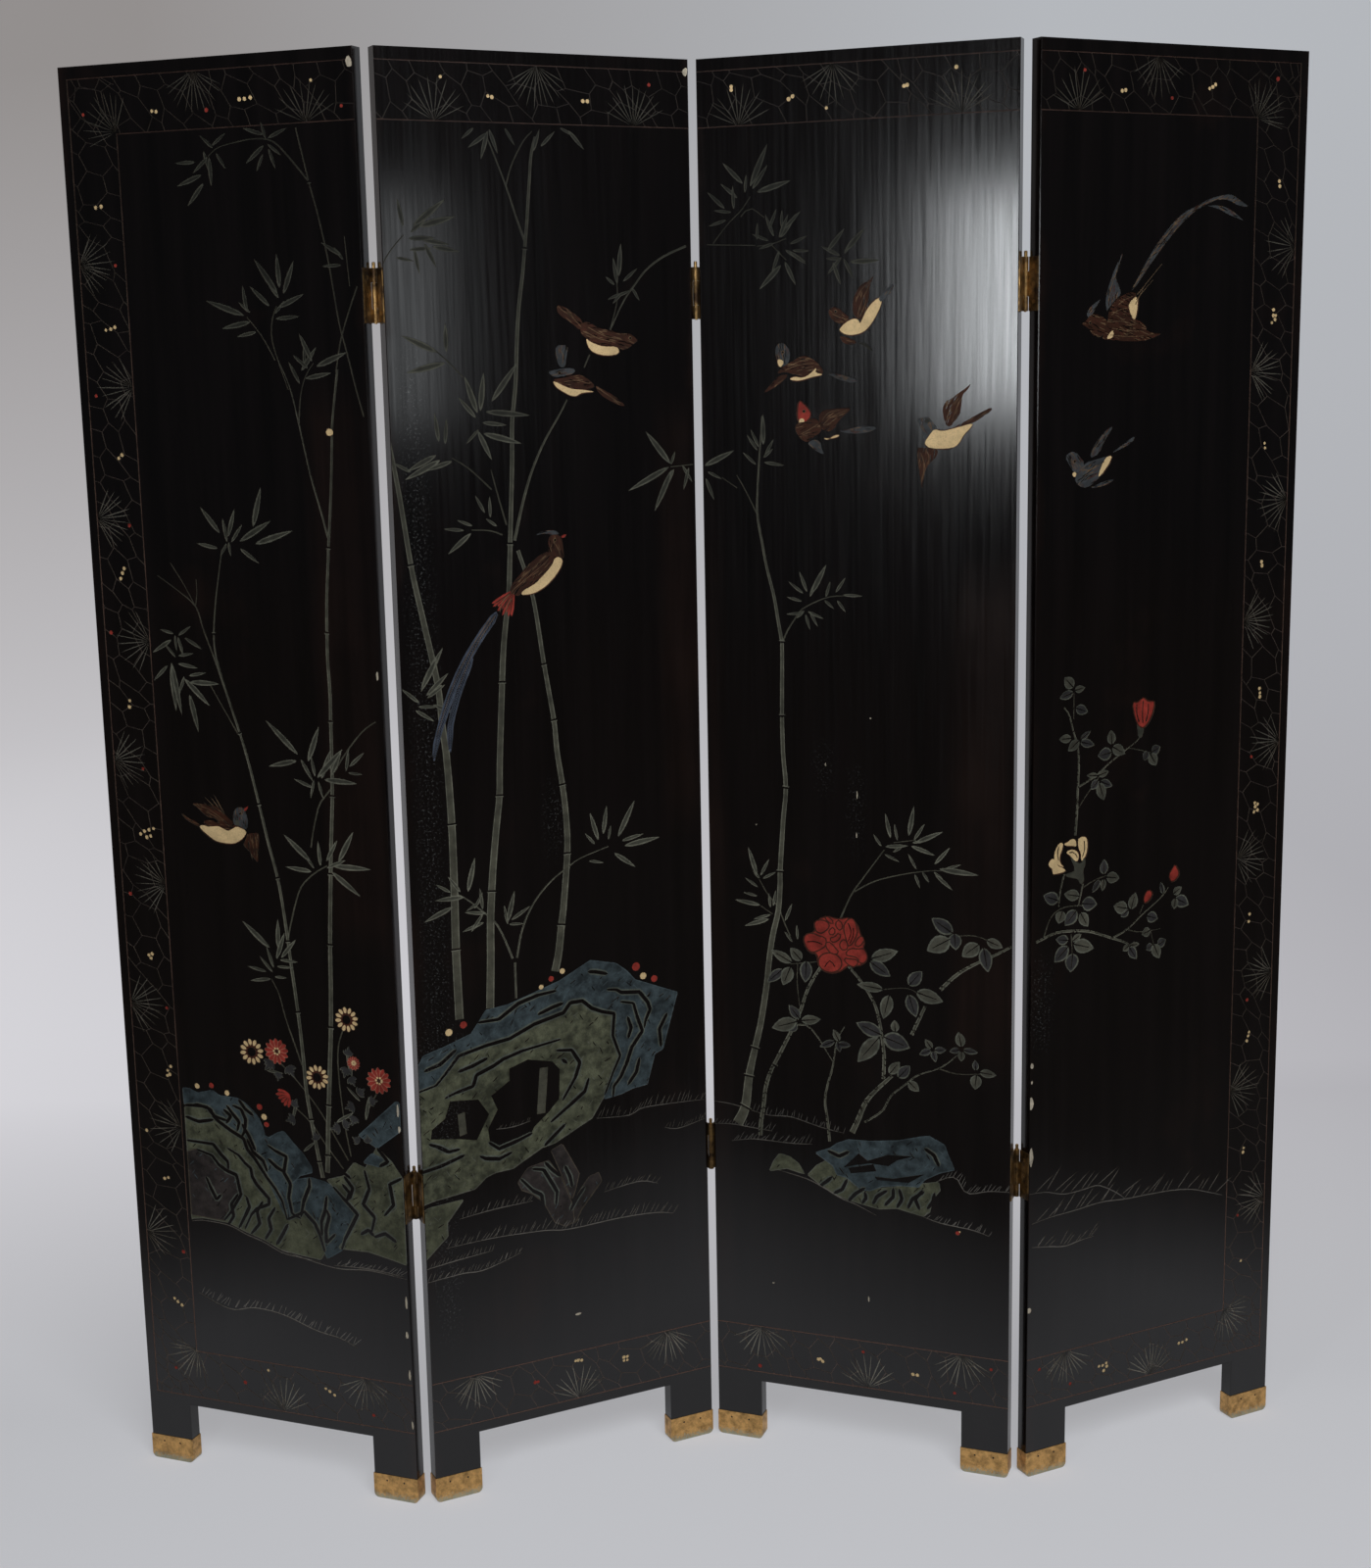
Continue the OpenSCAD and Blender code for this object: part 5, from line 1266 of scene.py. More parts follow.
def paint_material(name, levels, variety=0.35, polish=0.5, shaded_top_share=1.0, shade_heights=(0.75, 1.25), floor_light_gain=1.0):
    """Dry pigment on gesso: uneven and speckled, with painted shade that dulls it towards the top and
    painted light that makes it stronger near the floor.
    """
    material, tree, shader = new_material(name)
    seat = carved_place(tree)
    patches = calc(tree, "ADD", times(tree, noise(tree, seat, 70.0, 4.0, 0.6), 0.6),
                   times(tree, noise(tree, seat, 17.0), 0.4))
    grain = noise(tree, seat, 700.0, 2.0, 0.7)
    height = parts(tree, seat)[2]
    tone = mixed(tree, spread(tree, patches, 0.4, 0.6),
                 solid(levels, 1 - variety), solid(levels, 1 + variety))
    # Painted shade: above the given heights the paint is mixed towards black, darkest at the top.
    tone = mixed(tree, spread(tree, height, *shade_heights, 0.0, 1.0 - shaded_top_share), tone, (0, 0, 0, 1))
    # Painted light: below about 0.45 m the paint is brightened by the given gain, most at the floor.
    tone = mixed(tree, spread(tree, height, 0.25, 0.45, 0.8, 0.0), tone, solid(levels, floor_light_gain))
    tone = mixed(tree, spread(tree, grain, 0.5, 0.75, 0.0, 0.55), tone, solid(levels, 0.35))
    connect(tree, shader, {
        "Base Color": tone, "Roughness": spread(tree, grain, 0.2, 0.8, polish, polish + 0.25),
        "Specular IOR Level": 0.2, "Normal": bump(tree, grain, 0.00015)})
    return material


def paint_box():
    """Every paint on the fronts by name, apart from the lacquer."""
    colours = bpy.context.scene.screen_colours
    ways = dict.fromkeys(("rim", "rock_edge", "halo", "tail", "blush", "feather_line", "coral",
                          "brown_plumage", "grey_plumage", "gesso"), {})
    # Painted shade: canes and bamboo leaves are darkened towards the top.
    for name, share in {"bamboo": 0.36, "cane_edge": 0.3, "leaf": 0.26}.items():
        ways[name] = {"shaded_top_share": share, "shade_heights": (0.8, 1.6)}
    # Painted shade: the rose leaves are darkened towards the top.
    for name in ("rose_pale", "rose_mid", "rose_dark"):
        ways[name] = {"shaded_top_share": 0.4}
    # Painted light and shade: the thin lines are darkened at the top and brightened near the floor.
    for name, brightening in {"grass": 2.4, "border": 2.2, "lattice": 2.4, "needles": 2.2}.items():
        ways[name] = {"polish": 0.4, "shaded_top_share": 0.42, "shade_heights": (1.3, 1.75), "floor_light_gain": brightening}
    ways["cream"] = {"variety": 0.12, "polish": 0.42}
    ways["rock_rim"] = {"levels": toned(colours.rock_blue, 1.7)}
    for name in ("rock_blue", "rock_green", "shade"):
        ways[name] = {"variety": 0.6}
    return {name: paint_material(name.replace("_", " "), **{"levels": getattr(colours, name, None), **way})
            for name, way in ways.items()}


def brass_material(name, tarnish_share):
    """Old brass: bright where it is handled, brown in the hollows."""
    colours = bpy.context.scene.screen_colours
    material, tree, shader = new_material(name)
    seat = object_place(tree)
    blotches = noise(tree, seat, 55.0, 5.0, 0.65)
    scratches = noise(tree, stretched(tree, seat, (900, 900, 60)), 1.0, 2.0)
    skin = spread(tree, blotches, 0.62 - tarnish_share * 0.5, 0.78 - tarnish_share * 0.3)
    tone = mixed(tree, skin, solid(colours.brass), solid(colours.tarnish))
    dull = calc(tree, "ADD", spread(tree, scratches, 0.2, 0.8, 0.24, 0.42), times(tree, skin, 0.15))
    connect(tree, shader, {
        "Base Color": mixed(tree, spread(tree, scratches, 0.55, 0.8, 0.0, 0.3),
                            tone, solid(colours.tarnish, 0.5)),
        "Metallic": 0.9, "Roughness": dull, "Normal": bump(tree, blotches, 0.0003)})
    return material


def shoe_material():
    """Golden-brown sheet brass with a pale green crust low down."""
    colours = bpy.context.scene.screen_colours
    material, tree, shader = new_material("shoe brass")
    seat = object_place(tree)
    blotches = noise(tree, seat, 90.0, 5.0, 0.7)
    fine = noise(tree, seat, 420.0, 3.0, 0.7)
    tone = mixed(tree, spread(tree, blotches, 0.4, 0.68), solid(colours.shoe), solid(colours.shoe, 0.42))
    low = spread(tree, parts(tree, seat)[2], 0.0, 0.016, 1.0, 0.0)
    crust = spread(tree, calc(tree, "ADD", times(tree, low, 0.5), fine), 0.72, 0.95)
    connect(tree, shader, {
        "Base Color": mixed(tree, times(tree, crust, 0.8), tone, solid(colours.verdigris)),
        "Metallic": spread(tree, crust, 0.0, 1.0, 0.75, 0.1),
        "Roughness": spread(tree, blotches, 0.3, 0.7, 0.34, 0.55),
        "Normal": bump(tree, calc(tree, "ADD", blotches, times(tree, fine, 0.3)), 0.0012)})
    return material


def iron_material():
    """Dark iron with a trace of rust."""
    colours = bpy.context.scene.screen_colours
    material, tree, shader = new_material("nail iron")
    rust = noise(tree, object_place(tree), 1400.0)
    connect(tree, shader, {
        "Base Color": mixed(tree, spread(tree, rust, 0.45, 0.7),
                            solid(colours.iron), solid(colours.rubbed)),
        "Metallic": 0.6, "Roughness": spread(tree, rust, 0.2, 0.8, 0.45, 0.8)})
    return material


def pine_material(number):
    """Pine boards with upright grain."""
    colours = bpy.context.scene.screen_colours
    material, tree, shader = new_material("pine %d" % number)
    grain = noise(tree, stretched(tree, panel_place(tree, number), (160, 160, 4)), 1.0, 4.0)
    connect(tree, shader, {
        "Base Color": mixed(tree, spread(tree, grain, 0.35, 0.65),
                            solid(colours.pine, 0.6), solid(colours.pine)),
        "Roughness": spread(tree, grain, 0.2, 0.8, 0.55, 0.8), "Normal": bump(tree, grain, 0.0003)})
    return material


# ---- Drawing the picture of a panel ----


def pairs(numbers):
    """Points from a flat list of numbers."""
    return list(zip(numbers[::2], numbers[1::2]))


def aside(x, z, way, reach):
    """The place that lies a reach away in a direction."""
    return x + math.cos(way) * reach, z + math.sin(way) * reach


def between(start, end, share):
    """The place at a share of the way from one point to another."""
    return start[0] + (end[0] - start[0]) * share, start[1] + (end[1] - start[1]) * share


def stretches(chain):
    """The ends, the direction and the length of each stretch of a chain of points."""
    for (x0, z0), (x1, z1) in zip(chain, chain[1:]):
        yield (x0, z0), (x1, z1), math.atan2(z1 - z0, x1 - x0), math.hypot(x1 - x0, z1 - z0)


def closed(outline):
    """An outline as a chain that comes back to its first point."""
    return [*outline, outline[0]]


def softened(outline):
    """Cuts every corner of a closed outline once."""
    return [between(start, end, share) for start, end, _, _ in stretches(closed(outline))
            for share in (0.25, 0.75)]


def tightened(chain):
    """The same chain with points next to its corners, so that a smooth line turns sharply there."""
    return [chain[0]] + [between(start, end, share) for start, end, _, _ in stretches(chain)
                         for share in (0.12, 0.88, 1.0)]


def rectangle(x0, z0, x1, z1):
    """A rectangle's corners."""
    return [(x0, z0), (x1, z0), (x1, z1), (x0, z1)]


def arc(x, z, radius, start, end, steps=6):
    """Points on part of a circle, with angles in degrees."""
    return [aside(x, z, math.radians(start + (end - start) * i / steps), radius) for i in range(steps + 1)]


def swept(chain, start, end):
    """Widths that change evenly along a chain of points."""
    steps = len(chain) - 1
    return [start + (end - start) * i / steps for i in range(len(chain))]


def swelling(chain, width, tip):
    """Widths that are full in the middle of a chain and a share of that at its ends."""
    steps = len(chain) - 1
    return [width * (tip + (1 - tip) * math.sin(math.pi * i / steps) ** 0.5) for i in range(len(chain))]


class Drawing:
    """The flat picture of a panel, in millimetres: shapes in painting order, each over the ones before."""

    def __init__(self, number, trees):
        self.number = number
        self.trees = trees
        self.shapes = []
        self.chance = random.Random(number)

    def fill(self, paint, outlines, within=None):
        """Adds outlines, kept inside earlier shapes where their numbers are given."""
        first = len(self.shapes)
        self.shapes += [(paint, outline, within) for outline in outlines]
        return range(first, len(self.shapes))

    def ribbons(self, paint, chains, widths, within=None, step=8.0):
        """Adds smooth ribbons along chains of points."""
        if chains:
            mesh = marks(chains, width=[width for run in widths for width in run])
            self.fill(paint, grown(self.trees["ribbon"], mesh, Step=step), within)

    def strokes(self, paint, laid, pointed=1.0, belly=1.0, sides=12, within=None):
        """Adds strokes: each has a foot, an angle, a length and a width."""
        if laid:
            mesh = marks([[stroke[:2]] for stroke in laid], angle=[stroke[2] for stroke in laid],
                         length=[stroke[3] for stroke in laid], width=[stroke[4] for stroke in laid])
            outlines = grown(self.trees["stroke"], mesh, Sides=sides, Pointed=pointed, Belly=belly)
            self.fill(paint, outlines, within)

    def dots(self, paint, laid):
        """Adds round dots: each has a middle and a diameter."""
        self.strokes(paint, [(x - size / 2, z, 0.0, size, size) for x, z, size in laid],
                     pointed=0.0, sides=9)

    def scattered(self, outline, area, way, reach, width):
        """Short strokes all over an outline's box, one for each patch of the area."""
        xs, zs = zip(*outline)
        count = int((max(xs) - min(xs)) * (max(zs) - min(zs)) / area)
        uniform = self.chance.uniform
        return [(uniform(min(xs), max(xs)), uniform(min(zs), max(zs)), way(),
                 uniform(*reach), uniform(*width)) for _ in range(count)]


def leaf_strokes(leaves, slim):
    """Strokes for leaves that are given from tip to foot, with a width or a share of their length."""
    laid = []
    for tip_x, tip_z, foot_x, foot_z, *width in leaves:
        reach = math.hypot(tip_x - foot_x, tip_z - foot_z)
        laid.append((foot_x, foot_z, math.atan2(tip_z - foot_z, tip_x - foot_x), reach,
                     width[0] if width else min(8.0, max(4.0, reach * slim))))
    return laid


def within_leaf(laid, foot=0.1, part=0.78, slimness=0.55):
    """The same strokes drawn in, so that the ones below show as an edge."""
    return [(*aside(x, z, way, reach * foot), way, reach * part, width * slimness)
            for x, z, way, reach, width in laid]


def draw_border(drawing):
    """Border lines, cracked ice between them, pine sprigs, petals and berries."""
    number, uniform = drawing.number, drawing.chance.uniform
    is_first, is_last = number == PANELS[0], number == PANELS[-1]
    width, outer, inner = in_mm("panel_width"), in_mm("outer_border"), in_mm("inner_border")
    top_outer, top_inner = in_mm("top_outer"), in_mm("top_inner")
    bottom_inner, bottom_outer = in_mm("bottom_inner"), in_mm("bottom_outer")
    left, right = outer if is_first else 0.0, width - outer if is_last else width
    bands = [(left, top_inner, right, top_outer), (left, bottom_outer, right, bottom_inner)]
    if is_first:
        bands.insert(0, (outer, bottom_outer, inner, top_outer))
    if is_last:
        bands.insert(0, (width - inner, bottom_outer, width - outer, top_outer))
    clip = drawing.fill("lacquer", [rectangle(*sides) for sides in bands])
    cell = in_mm("lattice_cell")
    for turn, (x0, z0, x1, z1) in enumerate(bands):
        reach, rise = x1 - x0 + 2 * cell, z1 - z0 + 2 * cell
        ice = grown(drawing.trees["lattice"], marks([]), Width=reach, Height=rise,
                    Columns=round(reach / cell) + 1, Rows=round(rise / cell) + 1,
                    Shake=cell * LATTICE_SHAKE, Line=in_mm("lattice_line"), Seed=number * 10 + turn)
        middle_x, middle_z = (x0 + x1) / 2, (z0 + z1) / 2
        drawing.fill("lattice", [[(x + middle_x, z + middle_z) for x, z in face] for face in ice],
                     [clip[turn]])
    line = in_mm("border_line") / 2
    gap = inner - outer
    for z, inset in ((top_outer, 0), (bottom_outer, 0), (top_inner, gap), (bottom_inner, gap)):
        start = left + inset if is_first else left - line
        end = right - inset if is_last else right + line
        drawing.fill("border", [rectangle(start - line, z - line, end + line, z + line)])
    if is_first or is_last:
        for reach, low, high in ((outer, bottom_outer, top_outer), (inner, bottom_inner, top_inner)):
            x = reach if is_first else width - reach
            drawing.fill("border", [rectangle(x - line, low, x + line, high)])
    needles = []
    for x, z, way in SPRIGS[number]:
        count = drawing.chance.choice((10, 11, 12))
        for i in range(count):
            lean = (i / (count - 1) - 0.5) * 2
            reach = in_mm("needle_length") * (1 - SPRIG_SHORTENING * abs(lean)) * uniform(0.9, 1.0)
            needles.append((x, z, math.radians(way + SPRIG_SPREAD * lean + uniform(-3, 3)), reach,
                            uniform(*NEEDLE_WIDTHS)))
    drawing.strokes("needles", needles, pointed=0.3, belly=0.8, sides=8)
    drawing.dots("cream", [(x, z, uniform(*PETAL_SIZES)) for x, z in pairs(PETAL_DOTS[number])])
    drawing.dots("coral", [(x, z, uniform(*BERRY_SIZES)) for x, z in pairs(BERRIES[number])])


def draw_rocks(drawing):
    """Faceted rocks with hatched faces, pale rims and black ridges."""
    chance = drawing.chance
    faces = []
    for paint, *numbers in ROCKS.get(drawing.number, ()):
        outline = pairs(numbers)
        rim = {"rock_blue": "rock_rim", "rock_green": "rose_pale", "shade": "rim"}.get(paint)
        if rim:
            chain = tightened(closed(outline))
            drawing.ribbons(rim, [chain], [[ROCK_RIM] * len(chain)], step=3.0)
        made = drawing.fill(paint, [outline])
        if rim:
            faces += made
            hatch = drawing.scattered(
                outline, HATCH_AREA,
                lambda: math.radians(chance.choice((35, 50, 125)) + chance.uniform(-15, 15)),
                (4, 12), (0.8, 1.5))
            light = "rose_pale" if paint == "rock_green" else "rock_rim"
            for hue, strokes in (("lacquer", hatch[::2]), (light, hatch[1::2])):
                drawing.strokes(hue, strokes, pointed=0.6, sides=6, within=made)
    ridges = [tightened(pairs(numbers)) for numbers in RIDGES.get(drawing.number, ())]
    drawing.ribbons("rock_edge", ridges, [swelling(chain, RIDGE_RIM, 0.3) for chain in ridges],
                    faces, step=3.0)
    drawing.ribbons("lacquer", ridges, [swelling(chain, RIDGE, 0.2) for chain in ridges], step=3.0)


def draw_ground(drawing):
    """Ground lines with grass on them."""
    chance = drawing.chance
    lines, blades = [], []
    for shortest, longest, way, *numbers in GROUND[drawing.number]:
        lines.append(pairs(numbers))
        if not longest:
            continue
        for start, end, _, reach in stretches(lines[-1]):
            count = max(1, int(reach / max(4.5, longest / 3.6)))
            for i in range(count):
                foot = between(start, end, (i + chance.random()) / count)
                blades.append((*foot, math.radians(way - 20 + chance.uniform(-14, 14)),
                               chance.uniform(shortest, longest), 0.6 + longest / 35))
    drawing.ribbons("grass", lines, [swelling(line, GROUND_LINE, 0.5) for line in lines])
    drawing.strokes("grass", blades, pointed=0.5, belly=1.3, sides=6)


def nearest_cane(canes, x, z):
    """Direction and width of the cane nearest to a point."""
    best = None
    for chain, widths in canes:
        for (start, end, way, _), width in zip(stretches(chain), widths):
            gap = min(math.dist(spot, (x, z)) for spot in (start, between(start, end, 0.5), end))
            if best is None or gap < best[0]:
                best = (gap, way, width)
    return best[1:]


def draw_bamboo(drawing):
    """Canes with their rings, twigs and leaves."""
    number, chance = drawing.number, drawing.chance
    canes = [(pairs(numbers), swept(pairs(numbers), start, end)) for start, end, *numbers in STALKS[number]]
    edged = [(chain, widths) for chain, widths in canes if max(widths) >= 3]
    faces = [(chain, [max(w * 0.5, w - 2 * CANE_EDGE) for w in widths]) for chain, widths in edged]
    for paint, group in (("bamboo", canes), ("cane_edge", edged), ("bamboo", faces)):
        drawing.ribbons(paint, *zip(*group))
    bark = []
    for chain, widths in canes[WOODY_FROM.get(number, len(canes)):]:
        for (start, end, way, reach), width in zip(stretches(chain), widths):
            for _ in range(int(reach / BARK_SPACING)):
                foot = between(start, end, chance.random())
                bark.append((*foot, way + chance.choice((-2.2, 0.9, 2.4)), width * 0.75, 1.3))
    drawing.strokes("lacquer", bark, pointed=0.5, sides=6)
    for x, z in pairs(CANE_RINGS.get(number, ())):
        way, width = nearest_cane(canes, x, z)
        reach = width * 0.5 + RING_OVERHANG
        ends = [aside(x, z, way + math.pi / 2, -reach), aside(x, z, way + math.pi / 2, reach)]
        lifted = [aside(*end, way, RING_LIFT) for end in ends]
        drawing.ribbons("lacquer", [ends], [[RING, RING]])
        drawing.ribbons("cane_edge", [lifted], [[RING_LIGHT, RING_LIGHT]])
    for leaves in (SMALL_LEAVES.get(number, ()), LEAVES.get(number, ())):
        laid = leaf_strokes(leaves, 0.17)
        drawing.strokes("cane_edge", laid, pointed=0.75, belly=1.3, sides=16)
        drawing.strokes("leaf", within_leaf(laid), pointed=0.75, belly=1.3, sides=12)


def draw_roses(drawing):
    """Broad leaves with a dark midrib."""
    for paint, table in (("rose_dark", DARK_ROSE_LEAVES), ("rose_mid", PALE_ROSE_LEAVES)):
        leaves = table.get(drawing.number, ())
        laid = leaf_strokes(leaves, 0.5)
        drawing.strokes("rose_pale", laid, pointed=0.9, belly=1.25, sides=16)
        drawing.strokes(paint, within_leaf(laid, 0.07, 0.86, 0.78), pointed=0.9, belly=1.25, sides=14)
        ribs = [[leaf[2:4], between(leaf[2:4], leaf[:2], 0.75)] for leaf in leaves]
        drawing.ribbons("lacquer", ribs, [[1.4, 0.6]] * len(ribs))


def draw_chrysanthemums(drawing):
    """Round flowers of narrow petals, their lobed leaves, and fans of petals or feathers."""
    for paint, x, z, radius in CHRYSANTHEMUMS if drawing.number == PANELS[0] else ():
        is_cream = paint == "cream"
        under = "halo" if is_cream else "blush"
        drawing.dots("halo", [(x, z, radius * 1.5)])
        count, foot = (12, 0.5) if is_cream else (13, 0.2)
        ways = [2 * math.pi * (i + 0.3) / count for i in range(count)]
        for petals, fat in ((under, 1.3), (paint, 0.0)):
            laid = [(*aside(x, z, way, radius * foot), way, radius * (1.02 - foot) + fat / 2,
                     radius * 0.3 + fat) for way in ways]
            drawing.strokes(petals, laid, pointed=0.0, belly=0.85, sides=10)
        gaps = [way + math.pi / count for way in ways]
        drawing.strokes(under, [(*aside(x, z, way, radius * foot), way, radius * (1.0 - foot),
                                 1.5 if is_cream else 1.1) for way in gaps], pointed=0.0, sides=8)
        if is_cream:
            drawing.dots("lacquer", [(x, z, radius * 0.75)])
        else:
            drawing.dots("cream", [(*aside(x, z, way, radius * 0.24), 3.0) for way in ways[::2]])
    lobes = [(x, z, math.radians(way + lean), size * (0.68 if lean else 0.95), size * 0.32)
             for x, z, way, size in LOBED_LEAVES.get(drawing.number, ()) for lean in (-52, 52, -24, 24, 0)]
    drawing.strokes("rose_pale", lobes, pointed=0.4)
    drawing.strokes("rose_dark", within_leaf(lobes, 0.06, 0.88, 0.72), pointed=0.4)
    for paint, x, z, start, end, count, longest, width in PLUMES.get(drawing.number, ()):
        step = math.radians(end - start) / (count - 1)
        laid = [(x, z, math.radians(start) + step * i, longest * drawing.chance.uniform(0.75, 1.0), width)
                for i in range(count)]
        drawing.strokes(paint, laid, pointed=0.3, belly=0.8, sides=10)
        if paint == "coral":
            gaps = [(way + step / 2, reach) for _, _, way, reach, _ in laid[:-1]]
            drawing.strokes("halo", [(*aside(x, z, way, reach * 0.3), way, reach * 0.7, 1.3)
                                     for way, reach in gaps], pointed=0.0, sides=6)


def draw_plumage(drawing, outline, made):
    """Fine pale and dark strokes along a feathered patch."""
    off = numpy.array(outline) - numpy.mean(outline, axis=0)
    along = numpy.linalg.eigh(off.T @ off)[1][:, 1]
    way = math.atan2(along[1], along[0])
    laid = drawing.scattered(outline, FEATHER_AREA, lambda: way + drawing.chance.uniform(-0.25, 0.25),
                             (5, 13), (0.7, 1.2))
    for first, paint in enumerate(("lacquer", "halo", "feather_line")):
        drawing.strokes(paint, laid[first::3], sides=6, within=made)


def draw_barbs(drawing):
    """Dark barbs along both sides of the long tail feathers."""
    laid = []
    for numbers in TAIL_QUILLS.get(drawing.number, ()):
        for start, end, way, reach in stretches(pairs(numbers)):
            count = int(reach / BARB_SPACING)
            laid += [(*between(start, end, i / count), way + lean, 4.5, 0.8)
                     for i in range(count) for lean in (-0.7, 0.7)]
    drawing.strokes("lacquer", laid, pointed=0.3, sides=6)


def draw_creatures(drawing):
    """Birds and large flowers: patches with a red-brown cut edge, feather strokes, cuts and eyes."""
    number = drawing.number
    outlines = [(paint, softened(pairs(numbers))) for paint, *numbers in PATCHES[number]]
    halos = [closed(outline) for paint, outline in outlines if paint in ("cream", "coral")]
    drawing.ribbons("halo", halos, [[HALO] * len(chain) for chain in halos], step=6.0)
    for paint, outline in outlines:
        made = drawing.fill(paint, [outline])
        if paint.endswith("plumage"):
            draw_plumage(drawing, outline, made)
        xs = [x for x, z in outline]
        if paint == "coral" and max(xs) - min(xs) > 8:
            drawing.ribbons("halo", [closed(outline)], [[PETAL_LINE] * (len(outline) + 1)], step=4.0)
    draw_barbs(drawing)
    for paint, strokes in (("feather_line", FEATHERS[number]), ("lacquer", CUTS.get(number, ()))):
        chains = [pairs(numbers) for _, _, *numbers in strokes]
        widths = [swept(chain, *stroke[:2]) for chain, stroke in zip(chains, strokes)]
        drawing.ribbons(paint, chains, widths, step=5.0)
    for paint, size in (("feather_line", EYE_RING), ("lacquer", PUPIL)):
        drawing.dots(paint, [(x, z, size) for x, z in EYES[number]])
    for paint, *dot in LOOSE_DOTS.get(number, ()):
        drawing.dots(paint, [dot])


def draw_chips(drawing):
    """Ragged chips down to the gesso."""
    for x, z, width, height in CHIPS[drawing.number]:
        reaches = [drawing.chance.uniform(0.35, 0.55) for _ in range(9)]
        ways = [2 * math.pi * i / len(reaches) for i in range(len(reaches))]
        drawing.fill("gesso", [[(x + math.cos(way) * width * reach, z + math.sin(way) * height * reach)
                                for way, reach in zip(ways, reaches)]])


# ---- Carving ----


def front_outline(inset):
    """A panel's outline with its two legs, drawn in by an inset."""
    width, leg, apron = in_mm("panel_width"), in_mm("leg_width"), in_mm("leg_height")
    sole, bend = in_mm("shoe_sheet"), in_mm("foot_radius")
    outline = []
    for x0, x1 in ((0, leg), (width - leg, width)):
        outline += arc(x0 + bend, sole + bend, bend - inset, 180, 270)
        outline += arc(x1 - bend, sole + bend, bend - inset, 270, 360)
        if x0 == 0:
            outline += [(x1 - inset, apron + inset), (width - leg + inset, apron + inset)]
    return outline + [(width - inset, PANEL_HEIGHT - inset), (inset, PANEL_HEIGHT - inset)]


def inside(points, outline):
    """Which points lie inside an outline, also where it crosses itself."""
    turns = numpy.zeros(len(points), int)
    px, pz = points[:, 0], points[:, 1]
    for (x0, z0), (x1, z1) in zip(outline, outline[1:] + outline[:1]):
        side = (x1 - x0) * (pz - z0) - (px - x0) * (z1 - z0)
        turns += (z0 <= pz) & (z1 > pz) & (side > 0)
        turns -= (z0 > pz) & (z1 <= pz) & (side < 0)
    return turns != 0


def cut_up(shapes):
    """Splits the plane along every outline, and gives the corners, triangles and middles."""
    corners, edges = [], []
    for _, outline, _ in shapes:
        first, count = len(corners), len(outline)
        corners += [Vector(point) for point in outline]
        edges += [(first + i, first + (i + 1) % count) for i in range(count)]
    corners, _, triangles, _, _, _ = delaunay_2d_cdt(corners, edges, [], 0, 1e-4, False)
    corners = numpy.array([tuple(corner) for corner in corners])
    triangles = numpy.array(triangles)
    return corners, triangles, corners[triangles].mean(axis=1)


def painted(shapes, middles):
    """The shape that shows at each middle, or -1 outside the first shape."""
    order = numpy.argsort(middles[:, 0])
    sorted_x = middles[order, 0]
    covers = {}
    shown = numpy.full(len(middles), -1)
    for number, (_, outline, within) in enumerate(shapes):
        xs, zs = zip(*outline)
        near = order[numpy.searchsorted(sorted_x, min(xs)):numpy.searchsorted(sorted_x, max(xs))]
        near = near[(middles[near, 1] > min(zs)) & (middles[near, 1] < max(zs))]
        found = near[inside(middles[near], outline)]
        if number == 0:
            ground = numpy.zeros(len(middles), bool)
            ground[found] = True
        found = found[ground[found]]
        if within is not None:
            allowed = numpy.zeros(len(middles), bool)
            for limit in within:
                allowed[covers[limit]] = True
            found = found[allowed[found]]
        covers[number] = found
        shown[found] = number
    return shown


class Relief:
    """Collects the corners and faces of a carved front."""

    def __init__(self, number):
        self.number = number
        self.places = []
        self.faces = []
        self.paints = []
        self.known = {}

    def corner(self, key, x, y, z):
        """The index of a corner, made once for each key."""
        if key not in self.known:
            self.known[key] = len(self.places)
            self.places.append((x, y, z))
        return self.known[key]

    def face(self, corners, paint):
        """Adds one face."""
        self.faces.append(corners)
        self.paints.append(paint)

    def mesh(self, name, materials):
        """The finished mesh, with each corner's place on the panel kept for the materials."""
        mesh = bpy.data.meshes.new(name)
        mesh.from_pydata([Vector(place) * MM for place in self.places], [], self.faces)
        mesh.transform(panel_to_frame(self.number))
        names = list(materials)
        for paint in names:
            mesh.materials.append(materials[paint])
        mesh.polygons.foreach_set("material_index", [names.index(paint) for paint in self.paints])
        place = mesh.attributes.new("place", "FLOAT_VECTOR", "POINT")
        place.data.foreach_set("vector", [value * MM for spot in self.places for value in spot])
        mesh.validate()
        mesh.update()
        return mesh


def carve(drawing, materials):
    """Cuts the drawing into a closed slab of lacquer: what is painted lies deeper than the lacquer."""
    corners, triangles, middles = cut_up(drawing.shapes)
    shown = painted(drawing.shapes, middles)
    relief = Relief(drawing.number)
    level_at = {}
    for triangle, shape in zip(triangles.tolist(), shown.tolist()):
        if shape < 0:
            continue
        paint = drawing.shapes[shape][0]
        level = 0.0 if paint == "lacquer" else in_mm("carving_depth")
        level_at.update({(a, b): level for a, b in zip(triangle, triangle[1:] + triangle[:1])})
        relief.face([relief.corner((i, level), corners[i][0], level, corners[i][1]) for i in triangle],
                    paint)
    loop = {}
    for (a, b), level in level_at.items():
        other = level_at.get((b, a))
        if other is None:
            loop[a] = (b, level)
        elif level < other:
            wall = ((a, level), (a, other), (b, other), (b, level))
            relief.face([relief.known[key] for key in wall], "rim")
    back = close_edge(relief, corners, loop, (drawing.shapes[0][1], front_outline(0)))
    relief.face(back[::-1], "lacquer")
    return relief.mesh("panel_%d_carved_front" % drawing.number, materials)


